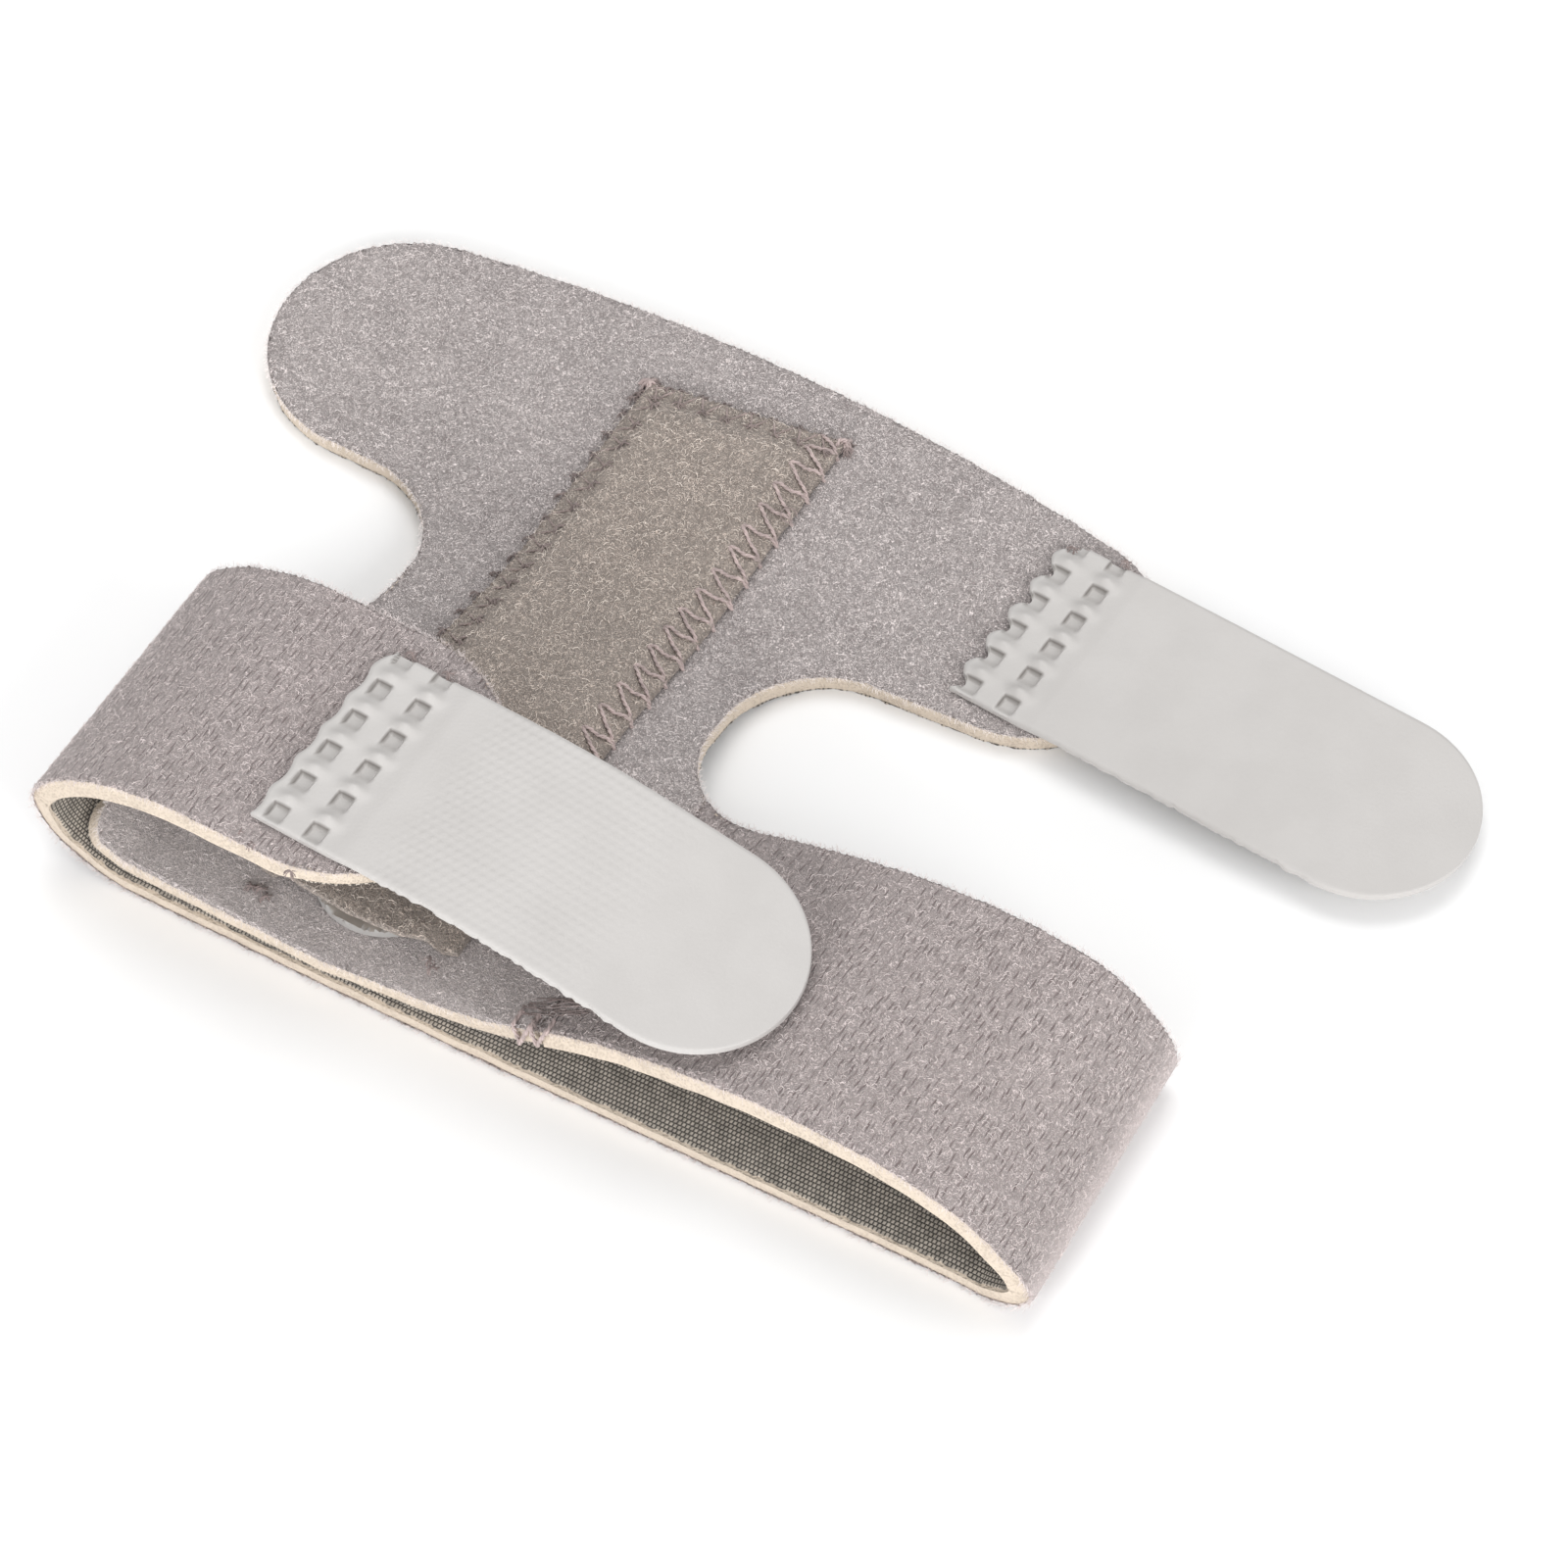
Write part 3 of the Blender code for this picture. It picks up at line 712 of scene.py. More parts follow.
def spread(name, shapes, places, look):
    """One piece from many copies of small shapes, each at its own place."""
    points = []
    faces = []
    start = 0
    for i, place in enumerate(places):
        shape_points, shape_faces = shapes[i % len(shapes)]
        turn = np.array(place)
        points.append(shape_points @ turn[:3, :3].T + turn[:3, 3])
        faces.append(shape_faces + start)
        start += len(shape_points)
    data = bpy.data.meshes.new(name)
    data.from_pydata(np.concatenate(points).tolist(), [], np.concatenate(faces).tolist())
    return add_piece(name, data, look)


def stand(place, x, y, height):
    """Frame at a place of a pattern: along, across and out of the face."""
    point = place(x, y, height)
    run = (place(x + PROBE, y, height) - point).normalized()
    out = run.cross(place(x, y + PROBE, height) - point).normalized()
    turn = Matrix((run, out.cross(run), out)).transposed()
    return Matrix.Translation(point) @ turn.to_4x4()


def inside(outline, x, y):
    """Whether a place lies in an outline."""
    crossings = 0
    for (x0, y0), (x1, y1) in edges(outline):
        if (y0 > y) != (y1 > y) and x < x0 + (y - y0) * (x1 - x0) / (y1 - y0):
            crossings += 1
    return crossings % 2 == 1


def add_fibre(places, spot, spin, tilt, axis, size):
    """Keep a fibre's frame, turned, tipped and sized, where it is clear of the table."""
    if spot.translation.z > CLEARANCE:
        turn = Matrix.Rotation(spin, 4, "Z") @ Matrix.Rotation(tilt, 4, axis)
        places.append(spot @ turn @ Matrix.Scale(size, 4))


def nap_places(outline, place, count, height, seed):
    """Places of fibres spread over a nap, each turned its own way."""
    dice = random.Random(seed)
    across, along = limits(outline, 0), limits(outline, 1)
    places = []
    while len(places) < count:
        x, y = dice.uniform(*across), dice.uniform(*along)
        if inside(outline, x, y):
            turn = dice.uniform(0, 2 * math.pi), dice.gauss(0, 0.25), "X", dice.uniform(0.65, 1.3)
            add_fibre(places, stand(place, x, y, height), *turn)
    return places


def edge_places(outline, place, depth, step, seed):
    """Places of fibres that stand out of the cut edge of a nap."""
    dice = random.Random(seed)
    places = []
    for start, end in edges(outline):
        count = math.dist(start, end) / step
        angle = math.atan2(end[1] - start[1], end[0] - start[0]) - math.pi / 2
        for i in range(int(count) + (dice.random() < count % 1)):
            x, y = between(start, end, dice.random())
            height = -dice.uniform(0, depth)
            spin = angle + dice.gauss(0, 0.6)
            turn = spin, dice.gauss(0, 0.5), "Y", dice.uniform(0.45, 1.05)
            add_fibre(places, stand(place, x, y, height), *turn)
    return places


def thread_piece(name, runs, radius, look):
    """Twisted two-ply thread along each run of points, as one piece."""
    curve = bpy.data.curves.new(name, "CURVE")
    curve.dimensions = "3D"
    curve.bevel_depth = radius * PLY_RADIUS
    curve.bevel_resolution = 1
    curve.use_fill_caps = True
    for run in runs:
        dense = smooth_run(run, radius)
        for phase in (0.0, math.pi):
            spline = curve.splines.new("POLY")
            ply = ply_points(dense, radius * PLY_SWING, radius * PLY_PITCH, phase)
            spline.points.add(len(ply) - 1)
            for point, place in zip(spline.points, ply):
                point.co = (*place, 1.0)
    holder = new_object(name, curve)
    data = bpy.data.meshes.new_from_object(holder)
    bpy.data.objects.remove(holder, do_unlink=True)
    return add_piece(name, data, look)


def smooth_run(run, radius):
    """Points of a smooth line through a run, a thread's width apart."""
    points = []
    spacing = max(radius * 1.6, 0.28 * MM)
    for i in range(len(run) - 1):
        before = run[max(i - 1, 0)]
        after = run[min(i + 2, len(run) - 1)]
        slopes = (run[i + 1] - before) / 2, (after - run[i]) / 2
        count = max(2, math.ceil((run[i + 1] - run[i]).length / spacing))
        points += [hermite(run[i], run[i + 1], *slopes, step / count) for step in range(count)]
    points.append(run[-1])
    return points


def ply_points(points, swing, pitch, phase):
    """One ply of a thread: a line that winds round the thread's own line."""
    wound = []
    length = 0.0
    for i, point in enumerate(points):
        ahead = points[min(i + 1, len(points) - 1)]
        behind = points[max(i - 1, 0)]
        way = (ahead - behind).normalized()
        side = way.cross(Vector((0, 0, 1))).normalized()
        up = side.cross(way)
        angle = phase + 2 * math.pi * length / pitch
        wound.append(point + (side * math.cos(angle) + up * math.sin(angle)) * swing)
        length += (ahead - point).length
    return wound


# Shader groups and materials


def new_group(name, inputs, outputs):
    """An empty shader group with named sockets."""
    tree = bpy.data.node_groups.new(name, "ShaderNodeTree")
    for title, kind, value in inputs:
        socket = tree.interface.new_socket(title, in_out="INPUT", socket_type="NodeSocket" + kind)
        socket.default_value = value
    for title, kind in outputs:
        tree.interface.new_socket(title, in_out="OUTPUT", socket_type="NodeSocket" + kind)
    start = tree.nodes.new("NodeGroupInput")
    end = tree.nodes.new("NodeGroupOutput")
    return tree, start.outputs, end.inputs


def add_node(tree, kind, inputs=None, **settings):
    """A shader node with its settings, and its sockets linked or set."""
    node = tree.nodes.new("ShaderNode" + kind)
    for key, value in settings.items():
        setattr(node, key, value)
    for key, value in (inputs or {}).items():
        if isinstance(value, bpy.types.NodeSocket):
            tree.links.new(value, node.inputs[key])
        else:
            node.inputs[key].default_value = value
    return node


def sum_of(tree, first, second, operation="ADD"):
    """Output of a maths node on two values."""
    return add_node(tree, "Math", {0: first, 1: second}, operation=operation).outputs[0]


def product(tree, first, second):
    """Output of a product of two values."""
    return sum_of(tree, first, second, "MULTIPLY")


def rest_of(tree, share):
    """Output of what a share leaves of 1."""
    return sum_of(tree, 1.0, share, "SUBTRACT")


def mix_values(tree, first, second, share):
    """Output of a mix of two values."""
    return sum_of(tree, product(tree, first, rest_of(tree, share)), product(tree, second, share))


def vector_maths(tree, operation, first, second):
    """Output of a maths node on two vectors."""
    node = add_node(tree, "VectorMath", {0: first, 1: second}, operation=operation)
    return node.outputs["Vector"]


def object_place(tree):
    """Output of a point's place in the scene."""
    return add_node(tree, "TexCoord").outputs["Object"]


def pattern_place(tree):
    """Output of a point's place on its flat pattern."""
    return add_node(tree, "UVMap", uv_map="pattern").outputs["UV"]


def carried(tree, name):
    """Output of a value that the mesh carries."""
    return add_node(tree, "Attribute", attribute_name=name).outputs["Fac"]


def stretch(tree, value, low, high, bottom=0.0, top=1.0):
    """A value's range moved to another range, with smooth ends."""
    inputs = {"Value": value, "From Min": low, "From Max": high, "To Min": bottom, "To Max": top}
    return add_node(tree, "MapRange", inputs, interpolation_type="SMOOTHSTEP").outputs["Result"]


def blend_colours(tree, share, first, second):
    """Output of a colour mix."""
    node = tree.nodes.new("ShaderNodeMix")
    node.data_type = "RGBA"
    for key, value in (("Factor_Float", share), ("A_Color", first), ("B_Color", second)):
        socket = next(item for item in node.inputs if item.identifier == key)
        if isinstance(value, bpy.types.NodeSocket):
            tree.links.new(value, socket)
        else:
            socket.default_value = value if key == "Factor_Float" else (*value, 1)
    return next(item for item in node.outputs if item.identifier == "Result_Color")


def noise_field(tree, vector, scale, detail=2.0, distortion=0.0):
    """Output of a noise texture."""
    inputs = {"Vector": vector, "Scale": scale, "Detail": detail, "Distortion": distortion}
    return add_node(tree, "TexNoise", inputs).outputs["Fac"]


def cloudy(tree, scale, detail=2.0, bottom=0.0):
    """Output of soft clouds between a bottom value and 1."""
    clouds = noise_field(tree, object_place(tree), scale, detail)
    return stretch(tree, clouds, 0.3, 0.7, bottom, 1.0)


def furrow_field(tree, pattern):
    """Short thin furrows that run across the strap, each with its own place and bend."""
    inputs = {"Vector": pattern, "Scale": 420, "Detail": 1.0}
    bend = add_node(tree, "TexNoise", inputs).outputs["Color"]
    bend = vector_maths(tree, "MULTIPLY", bend, FURROW_BEND)
    bent = vector_maths(tree, "ADD", pattern, bend)
    inputs = {"Vector": bent, "Rotation": (0, 0, FURROW_TURN), "Scale": FURROW_SCALE}
    scaled = add_node(tree, "Mapping", inputs).outputs["Vector"]
    inputs = {"Vector": scaled, "Scale": 1.0, "Randomness": 0.9}
    cells = add_node(tree, "TexVoronoi", inputs, voronoi_dimensions="2D").outputs
    away = vector_maths(tree, "SUBTRACT", scaled, cells["Position"])
    away = vector_maths(tree, "MULTIPLY", away, FURROW_SHAPE)
    length = add_node(tree, "VectorMath", {0: away}, operation="LENGTH").outputs["Value"]
    strength = add_node(tree, "SeparateColor", {"Color": cells["Color"]}).outputs["Red"]
    strength = stretch(tree, strength, 0.0, 0.9, 0.30, 1.0)
    return product(tree, stretch(tree, length, 0.30, 1.10, 1.0, 0.0), strength)


def brushed_nap_group():
    """Brushed loops: curly fibres, clumps, broad strokes and short furrows across the strap. A
    carried share makes it paler: the strap's nap stretched over its folds, and painted light on
    the wrap's lobe.
    """
    inputs = [
        ("Place", "Vector", (0, 0, 0)),
        ("Pattern", "Vector", (0, 0, 0)),
        ("Pale", "Color", (0.5, 0.5, 0.5, 1)),
        ("Deep", "Color", (0.2, 0.2, 0.2, 1)),
        ("Furrows", "Float", 0.0),
        ("Stretch and painted light", "Float", 0.0),
        ("Evenness", "Float", 0.0),
    ]
    tree, given, made = new_group("brushed_nap", inputs, [("Color", "Color"), ("Height", "Float")])
    level = 0.0
    for scale, detail, distortion, low, high, weight in NAP_NOISES:
        field = noise_field(tree, given["Place"], scale, detail, distortion)
        level = sum_of(tree, level, product(tree, stretch(tree, field, low, high), weight))
    level = mix_values(tree, level, 0.8, given["Evenness"])
    furrows = product(tree, given["Furrows"], rest_of(tree, given["Stretch and painted light"]))
    groove = product(tree, furrow_field(tree, given["Pattern"]), furrows)
    level = product(tree, level, rest_of(tree, groove))
    # Paler by the carried share: stretched nap on the strap's folds, painted light on the wrap's
    # lobe
    level = mix_values(tree, level, 1.0, product(tree, given["Stretch and painted light"], 0.6))
    tree.links.new(blend_colours(tree, level, given["Deep"], given["Pale"]), made["Color"])
    tree.links.new(level, made["Height"])
    return tree


def new_look(name, roughness, **sockets):
    """A material with a Principled shader whose constant sockets are set."""
    look = bpy.data.materials.new(name)
    look.use_nodes = True
    shader = look.node_tree.nodes["Principled BSDF"]
    shader.inputs["Roughness"].default_value = roughness
    for key, value in sockets.items():
        shader.inputs[key.replace("_", " ")].default_value = value
    return look, look.node_tree, shader


def set_bump(tree, shader, height, distance, strength):
    """Feed a height to the shader's normal."""
    inputs = {"Height": height, "Distance": distance, "Strength": strength}
    tree.links.new(add_node(tree, "Bump", inputs).outputs["Normal"], shader.inputs["Normal"])


def set_colour(tree, shader, share, first, second):
    """Feed a mix of two colours to the shader."""
    tree.links.new(blend_colours(tree, share, first, second), shader.inputs["Base Color"])


def nap_looks(name, group, colours, furrows=0.0, evenness=0.0):
    """Brushed nap cloth, and the fibres on it."""
    look, tree, shader = new_look(name + "_nap", 0.95, Sheen_Weight=0.25, Sheen_Roughness=0.5)
    pale, deep, fibre = colours
    inputs = {
        "Place": object_place(tree),
        "Pattern": pattern_place(tree),
        "Pale": (*pale, 1),
        "Deep": (*deep, 1),
        "Furrows": furrows,
        "Stretch and painted light": carried(tree, "stretch_and_painted_light"),
        "Evenness": evenness,
    }
    nap = add_node(tree, "Group", inputs, node_tree=group)
    tree.links.new(nap.outputs["Color"], shader.inputs["Base Color"])
    set_bump(tree, shader, nap.outputs["Height"], 0.0005, 0.9)
    return look, plain_look(name + "_fibre", fibre, 0.7)


def foam_look():
    """Cream foam with fine open cells on its cut."""
    look, tree, shader = new_look("foam_cream", 0.9)
    place = object_place(tree)
    cells = add_node(tree, "TexVoronoi", {"Vector": place, "Scale": 3200}).outputs["Distance"]
    level = mix_values(tree, cells, noise_field(tree, place, 500), 0.5)
    level = stretch(tree, level, 0.2, 0.6)
    set_colour(tree, shader, level, (0.52, 0.44, 0.36), (0.64, 0.55, 0.455))
    set_bump(tree, shader, level, 0.0002, 0.5)
    return look


def lining_look():
    """Thin dark knit with fine stitches in rows along the band."""
    look, tree, shader = new_look("lining_knit", 0.85, Sheen_Weight=0.1)
    scaled = add_node(tree, "Mapping", {"Vector": pattern_place(tree), "Scale": KNIT_SCALE})
    inputs = {
        "Vector": scaled.outputs["Vector"],
        "Scale": 1.0,
        "Mortar Size": 0.21,
        "Mortar Smooth": 1.0,
        "Brick Width": 0.85,
        "Row Height": 1.0,
    }
    raised = rest_of(tree, add_node(tree, "TexBrick", inputs, offset=0.5).outputs["Fac"])
    level = product(tree, raised, cloudy(tree, 700, bottom=0.6))
    set_colour(tree, shader, level, (0.060, 0.052, 0.044), (0.60, 0.54, 0.47))
    set_bump(tree, shader, raised, 0.0003, 0.8)
    return look


def tab_look():
    """Matt moulded hook plastic, greyer towards the floors of its weld pits, with painted shade on
    the pits' back and left walls.
    """
    look, tree, shader = new_look("hook_plastic", 0.48, Specular_IOR_Level=0.35)
    sheet = (0.500, 0.482, 0.467), (0.520, 0.502, 0.487)
    colour = blend_colours(tree, cloudy(tree, 160, 3.0), *sheet)
    # Greyer towards the floor of each weld pit
    floor = stretch(tree, carried(tree, "pressed"), 0.1, 0.9, 0.0, 0.14)
    colour = blend_colours(tree, floor, colour, (0.33, 0.31, 0.29))
    # Painted shade: the pits' back and left walls, facing away from the light, are coloured dark
    wall_shade = product(tree, carried(tree, "painted_wall_shade"), 0.85)
    set_colour(tree, shader, wall_shade, colour, (0.13, 0.115, 0.105))
    set_bump(tree, shader, noise_field(tree, object_place(tree), 2500), 0.00006, 0.5)
    return look


def stay_look():
    """Cloudy clear plastic with a paler rim; its upward faces are browner and darker, painted
    shade and a painted reflection of the pocket cloth over it.
    """
    look, tree, shader = new_look("stay_plastic", 0.28, Transmission_Weight=0.25, IOR=1.46)
    # Painted shade and painted reflection: the top under the pocket is coloured brown-dark like
    # the cloth over it
    plastic = (0.31, 0.27, 0.235), (0.42, 0.375, 0.335)
    colour = blend_colours(tree, cloudy(tree, 300, 3.0), *plastic)
    facing = add_node(tree, "TexCoord").outputs["Normal"]
    upward = add_node(tree, "SeparateXYZ", {"Vector": facing}).outputs["Z"]
    rim = stretch(tree, upward, 0.55, 0.92, 1.0, 0.0)
    set_colour(tree, shader, rim, colour, (0.50, 0.485, 0.47))
    return look


def plain_look(name, colour, roughness, speck=0.12):
    """A fibre or thread colour that varies a little from place to place."""
    look, tree, shader = new_look(name, roughness, Sheen_Weight=0.2)
    dark = [part * (1 - speck) for part in colour]
    light = [min(1.0, part * (1 + speck)) for part in colour]
    set_colour(tree, shader, cloudy(tree, 900), dark, light)
    return look


# Toe wrap and foot strap

# (radius, turn, thickness, lift), with sizes in mm
CURLS = [
    curl_shape(0.32, 1.7, 0.050, 0.13),
    curl_shape(0.46, 1.3, 0.045, 0.11),
    curl_shape(0.22, 2.3, 0.048, 0.14),
    curl_shape(0.70, 0.9, 0.050, 0.10),
]
LONG_CURLS = [
    curl_shape(0.55, 1.2, 0.045, 0.10),
    curl_shape(0.90, 0.9, 0.045, 0.08),
    curl_shape(0.40, 1.7, 0.045, 0.12),
]


def nap_relief(x, y):
    """Low clumps of the brushed face, never over its nominal height."""
    clump = waver(x, y, 2.2 * MM, 3.0) + 0.6 * waver(x, y, 0.9 * MM, 8.0)
    return -0.05 * MM + 0.05 * MM * clump


def laminate(name, outline, place, steps, looks, mark, slant=0.0):
    """Nap, foam and lining of one cut of cloth, the fibres on it and the fuzz at its edge."""
    (nap_cloth, fibre), foam, lining = looks
    nap_cut = trimmed(outline, 0.06 * MM, 0.12 * MM, 1.3 * MM, 1.0)
    foam_cut = trimmed(outline, -0.10 * MM, 0.10 * MM, 4.0 * MM, 2.0)
    lining_cut = trimmed(outline, -0.10 * MM, 0.30 * MM, 0.8 * MM, 5.0)
    coarse = (steps[0] * 1.2, steps[1] * 3)
    foam_low = -LAMINATE + LINING
    nap = cloth_layer(
        name + "_nap", nap_cut, (-NAP, 0.0), steps, place, nap_cloth,
        ROUND_NAP, nap_relief, mark,
    )
    foam = cloth_layer(
        name + "_foam", foam_cut, (foam_low, -NAP), coarse, place, foam, slant=slant
    )
    lining = cloth_layer(
        name + "_lining", lining_cut, (-LAMINATE, foam_low), coarse, place, lining
    )
    spots = nap_places(outline, place, LAMINATE_FIBRES, -0.02 * MM, 11)
    fibres = spread(name + "_fibres", CURLS, spots, fibre)
    spots = edge_places(nap_cut, place, 1.6 * NAP, FUZZ_STEP, 12)
    fuzz = spread(name + "_fuzz", LONG_CURLS, spots, fibre)
    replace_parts(nap, name)
    return [nap, foam, lining, fibres, fuzz]


# Hook tabs


def turned(along, across, yaw):
    """A place of a tab's pattern, turned about the middle of its welded end."""
    x = along * math.cos(yaw) - across * math.sin(yaw)
    return x, along * math.sin(yaw) + across * math.cos(yaw)


def toe_tab_point(along, across, height):
    """Point of the tab on the right arm."""
    tip = RIGHT_ARM_CENTRE[0] + RIGHT_ARM_RADIUS
    base = Vector((tip - TOE_TAB_LAP, RIGHT_ARM_CENTRE[1], LAMINATE + CLEARANCE))
    x, y = turned(along, across, TOE_TAB_YAW)
    droop = TOE_TAB_DROOP * smooth((along - TOE_TAB_LAP) / (TAB_LENGTH - TOE_TAB_LAP))
    return base + Vector((x, y, height - droop))


FOOT_TAB_START = LEFT_FOLD + TOP_RUN - FOOT_TAB_LAP
FOOT_TAB_BASE = Vector((FOOT_TAB_START, FOOT_TAB_OFFSET, FOLD_HEIGHT + CLEARANCE))
FOOT_TAB_CREST = max(
    BAND.rise(FOOT_TAB_BASE.x + TAB_LENGTH * share / 8, side)
    for share in range(9)
    for side in (-HALF_STRAP, HALF_STRAP)
)


def foot_tab_point(along, across, height):
    """Point of the tab on the strap's end, which reaches down to the hump."""
    x, y = turned(along, across, FOOT_TAB_YAW)
    share = max(0.0, (along - FOOT_TAB_LAP) / (TAB_LENGTH - FOOT_TAB_LAP))
    drop = FOLD_HEIGHT - FOOT_TAB_CREST - CLEARANCE
    return FOOT_TAB_BASE + Vector((x, y, height - drop * share * share * (2 - share)))


def stepped(marks, step):
    """Places that hold every mark and are a step apart at most."""
    places = []
    for start, end in zip(marks, marks[1:]):
        count = max(1, math.ceil((end - start) / step))
        places += [mix(start, end, i / count) for i in range(count)]
    return places + [marks[-1]]


def box(distance, half, soft):
    """1 inside a half width, 0 outside it, with a soft step."""
    return smooth((half - abs(distance)) / soft + 0.5)


class TabShape:
    """Sizes and heights of one hook tab."""

    def __init__(self, inset, scallop, embossed, seed):
        self.inset = inset
        self.scallop = scallop
        self.embossed = embossed
        self.seed = seed
        self.half = TAB_WIDTH / 2
        rows = range(PITS_IN_COLUMN + 1)
        self.rows = [FIRST_PIT + row * PIT_PITCH - self.half for row in rows]
        self.columns = [inset, inset + PIT_COLUMN_PITCH]

    def pit(self, along, across):
        """How far a place is inside a weld pit, from 0 to 1."""
        half = PIT_SIZE / 2 - PIT_SHRINK
        deep = 0.0
        for column in self.columns:
            run = along - column
            deep = max(deep, box(run, half, PIT_STEEP if run < 0 else 0.5 * MM))
        hollow = 0.0
        for row in self.rows:
            side = across - row
            hollow = max(hollow, box(side, half, PIT_STEEP if side > 0 else 1.3 * MM))
        return deep * hollow

    def wall_shade(self, along, across):
        """How much of a place is on a pit's steep back and left walls, from 0 to 1: the walls that
        face away from the light, which get painted shade.
        """
        near = 0.10 * MM
        left = self.pit(along + near, across) - self.pit(along - near, across)
        back = self.pit(along, across - near) - self.pit(along, across + near)
        return min(1.0, max(0.0, left) + max(0.0, back))

    def lump(self, along, across):
        """Height of the soft lumps that the weld raises behind each pit."""
        high = 0.0
        for i, column in enumerate(self.columns):
            for row in self.rows[:-1]:
                run = (along - column - 0.25 * MM) / LUMP_LENGTH
                side = (across - row - PIT_PITCH * 0.42) / LUMP_WIDTH
                high += math.exp(-run * run - side * side) * (1 + 0.3 * i)
        return high * LUMP_HEIGHT

    def edge(self, across):
        """How far the welded end is set back at a place across the tab."""
        phase = math.cos(2 * math.pi * (across - self.rows[0]) / PIT_PITCH)
        corner = smooth((across - self.half + 2.0 * MM) / (2.0 * MM))
        back = self.scallop[0] * max(0.0, phase) - self.scallop[1] * max(0.0, -phase)
        return back + 0.9 * MM * corner * corner

    def dots(self, along, across):
        """Height of the faint dots that the hooks press through the sheet."""
        if not self.embossed:
            return 0.0
        row = round(across / DOT_PITCH)
        along += (row % 2) * DOT_PITCH / 2
        near = round(along / DOT_PITCH) * DOT_PITCH
        reach = math.hypot(across - row * DOT_PITCH, along - near)
        fade = smooth((along - 13 * MM) / (5 * MM)) * smooth((44 * MM - along) / (8 * MM))
        return DOT_HEIGHT * fade * smooth(1 - reach / DOT_RADIUS)

    def half_width(self, along):
        """Half the tab's width, which falls to nothing round its tip."""
        past = max(0.0, along - (TAB_LENGTH - self.half))
        return math.sqrt(max(0.0, self.half**2 - past**2))

    def top(self, along, across, rim):
        """Height of the upper face, where rim is the distance from the tab's edge."""
        weld = 1 - smooth((along - self.columns[1] - 1.5 * MM) / (3 * MM))
        height = TAB_THICKNESS - TAB_SUNK * weld + self.lump(along, across) * weld
        height += self.dots(along, across)
        short = max(0.0, 1 - rim / TAB_RIM)
        height -= TAB_SUNK * short * short
        return mix(height, PIT_FLOOR, self.pit(along, across))

    def bottom(self, along):
        """Height of the lower face, which lies on the cloth where it is welded."""
        return 0.35 * MM * smooth((along - self.columns[1] - 2 * MM) / (4 * MM))

    def ragged(self, along, across):
        """How far the slit edges of the sheet waver."""
        free = smooth((along - 12 * MM) / (6 * MM)) * smooth((50 * MM - along) / (6 * MM))
        side = 1 if across > 0 else -1
        step = round(waver(along, side, 0.7 * MM, self.seed) * 3) / 3
        return 0.26 * MM * free * step * (1.0 if across < 0 else 0.3)


def pit_marks(centres):
    """Places on both sides of each pit's edges."""
    reach, soft = PIT_SIZE / 2, PIT_STEEP / 2
    return [
        centre + side + step
        for centre in centres
        for side in (-reach, reach)
        for step in (-soft, soft)
    ]


def hook_tab(name, shape, place, look):
    """The sheet of a hook tab, with its weld pits and lumps."""
    weld_end = shape.columns[1] + 4 * MM
    dots_end = 46 * MM if shape.embossed else weld_end
    straight = TAB_LENGTH - shape.half
    lines = stepped([0.0] + pit_marks(shape.columns) + [weld_end], 0.28 * MM)
    lines += stepped([weld_end, min(dots_end, straight)], 0.27 * MM if shape.embossed else MM)[1:]
    lines += [x for x in stepped([lines[-1], straight], 0.6 * MM)[1:] if x > lines[-1]]
    turns = [math.pi / 2 * i / TIP_LINES for i in range(1, TIP_LINES)]
    lines += [straight + shape.half * math.sin(turn) for turn in turns]
    lines.append(TAB_LENGTH - 0.004 * MM)
    marks = [-shape.half] + pit_marks(shape.rows)
    marks = sorted(mark for mark in marks if mark < shape.half) + [shape.half]
    rows = [across / shape.half for across in stepped(marks, 0.3 * MM)]
    mesh = bmesh.new()
    bmesh.ops.create_grid(mesh, x_segments=len(lines) - 1, y_segments=len(rows) - 1, size=0.5)
    for vert in mesh.verts:
        i = round((vert.co.x + 0.5) * (len(lines) - 1))
        j = round((vert.co.y + 0.5) * (len(rows) - 1))
        across = rows[j] * shape.half_width(lines[i])
        along = lines[i] + shape.edge(across) * max(0.0, 1 - lines[i] / shape.inset)
        if abs(rows[j]) > 0.999:
            across += shape.ragged(along, across)
        vert.co = (along, across, 0)
    thickened(mesh)
    pressed = mesh.verts.layers.float.new("pressed")
    painted_wall_shade = mesh.verts.layers.float.new("painted_wall_shade")
    for vert in mesh.verts:
        along, across, share = vert.co
        rim = min(shape.half_width(along) - abs(across), along - shape.edge(across))
        vert[pressed] = share * shape.pit(along, across)
        # Where the tab's material paints shade on the pits' back and left walls
        vert[painted_wall_shade] = share * shape.wall_shade(along, across)
        height = shape.top(along, across, rim) if share > 0.5 else shape.bottom(along)
        vert.co = place(along, across, height)
    return add_piece(name, mesh_data(name, mesh), look)


def hook_shape():
    """One small hook with a bent tip, standing below the sheet."""
    mesh = bmesh.new()
    bmesh.ops.create_cone(
        mesh, segments=5, radius1=0.10 * MM, radius2=0.16 * MM, depth=0.30 * MM, cap_ends=True
    )
    bmesh.ops.translate(mesh, verts=mesh.verts[:], vec=(0, 0, -0.12 * MM))
    low = [vert for vert in mesh.verts if vert.co.z < -0.2 * MM]
    bmesh.ops.scale(mesh, verts=low, vec=(2.0, 0.9, 1.0))
    bmesh.ops.translate(mesh, verts=low, vec=(0.08 * MM, 0, 0))
    bmesh.ops.triangulate(mesh, faces=mesh.faces[:])
    return shape_of(mesh)


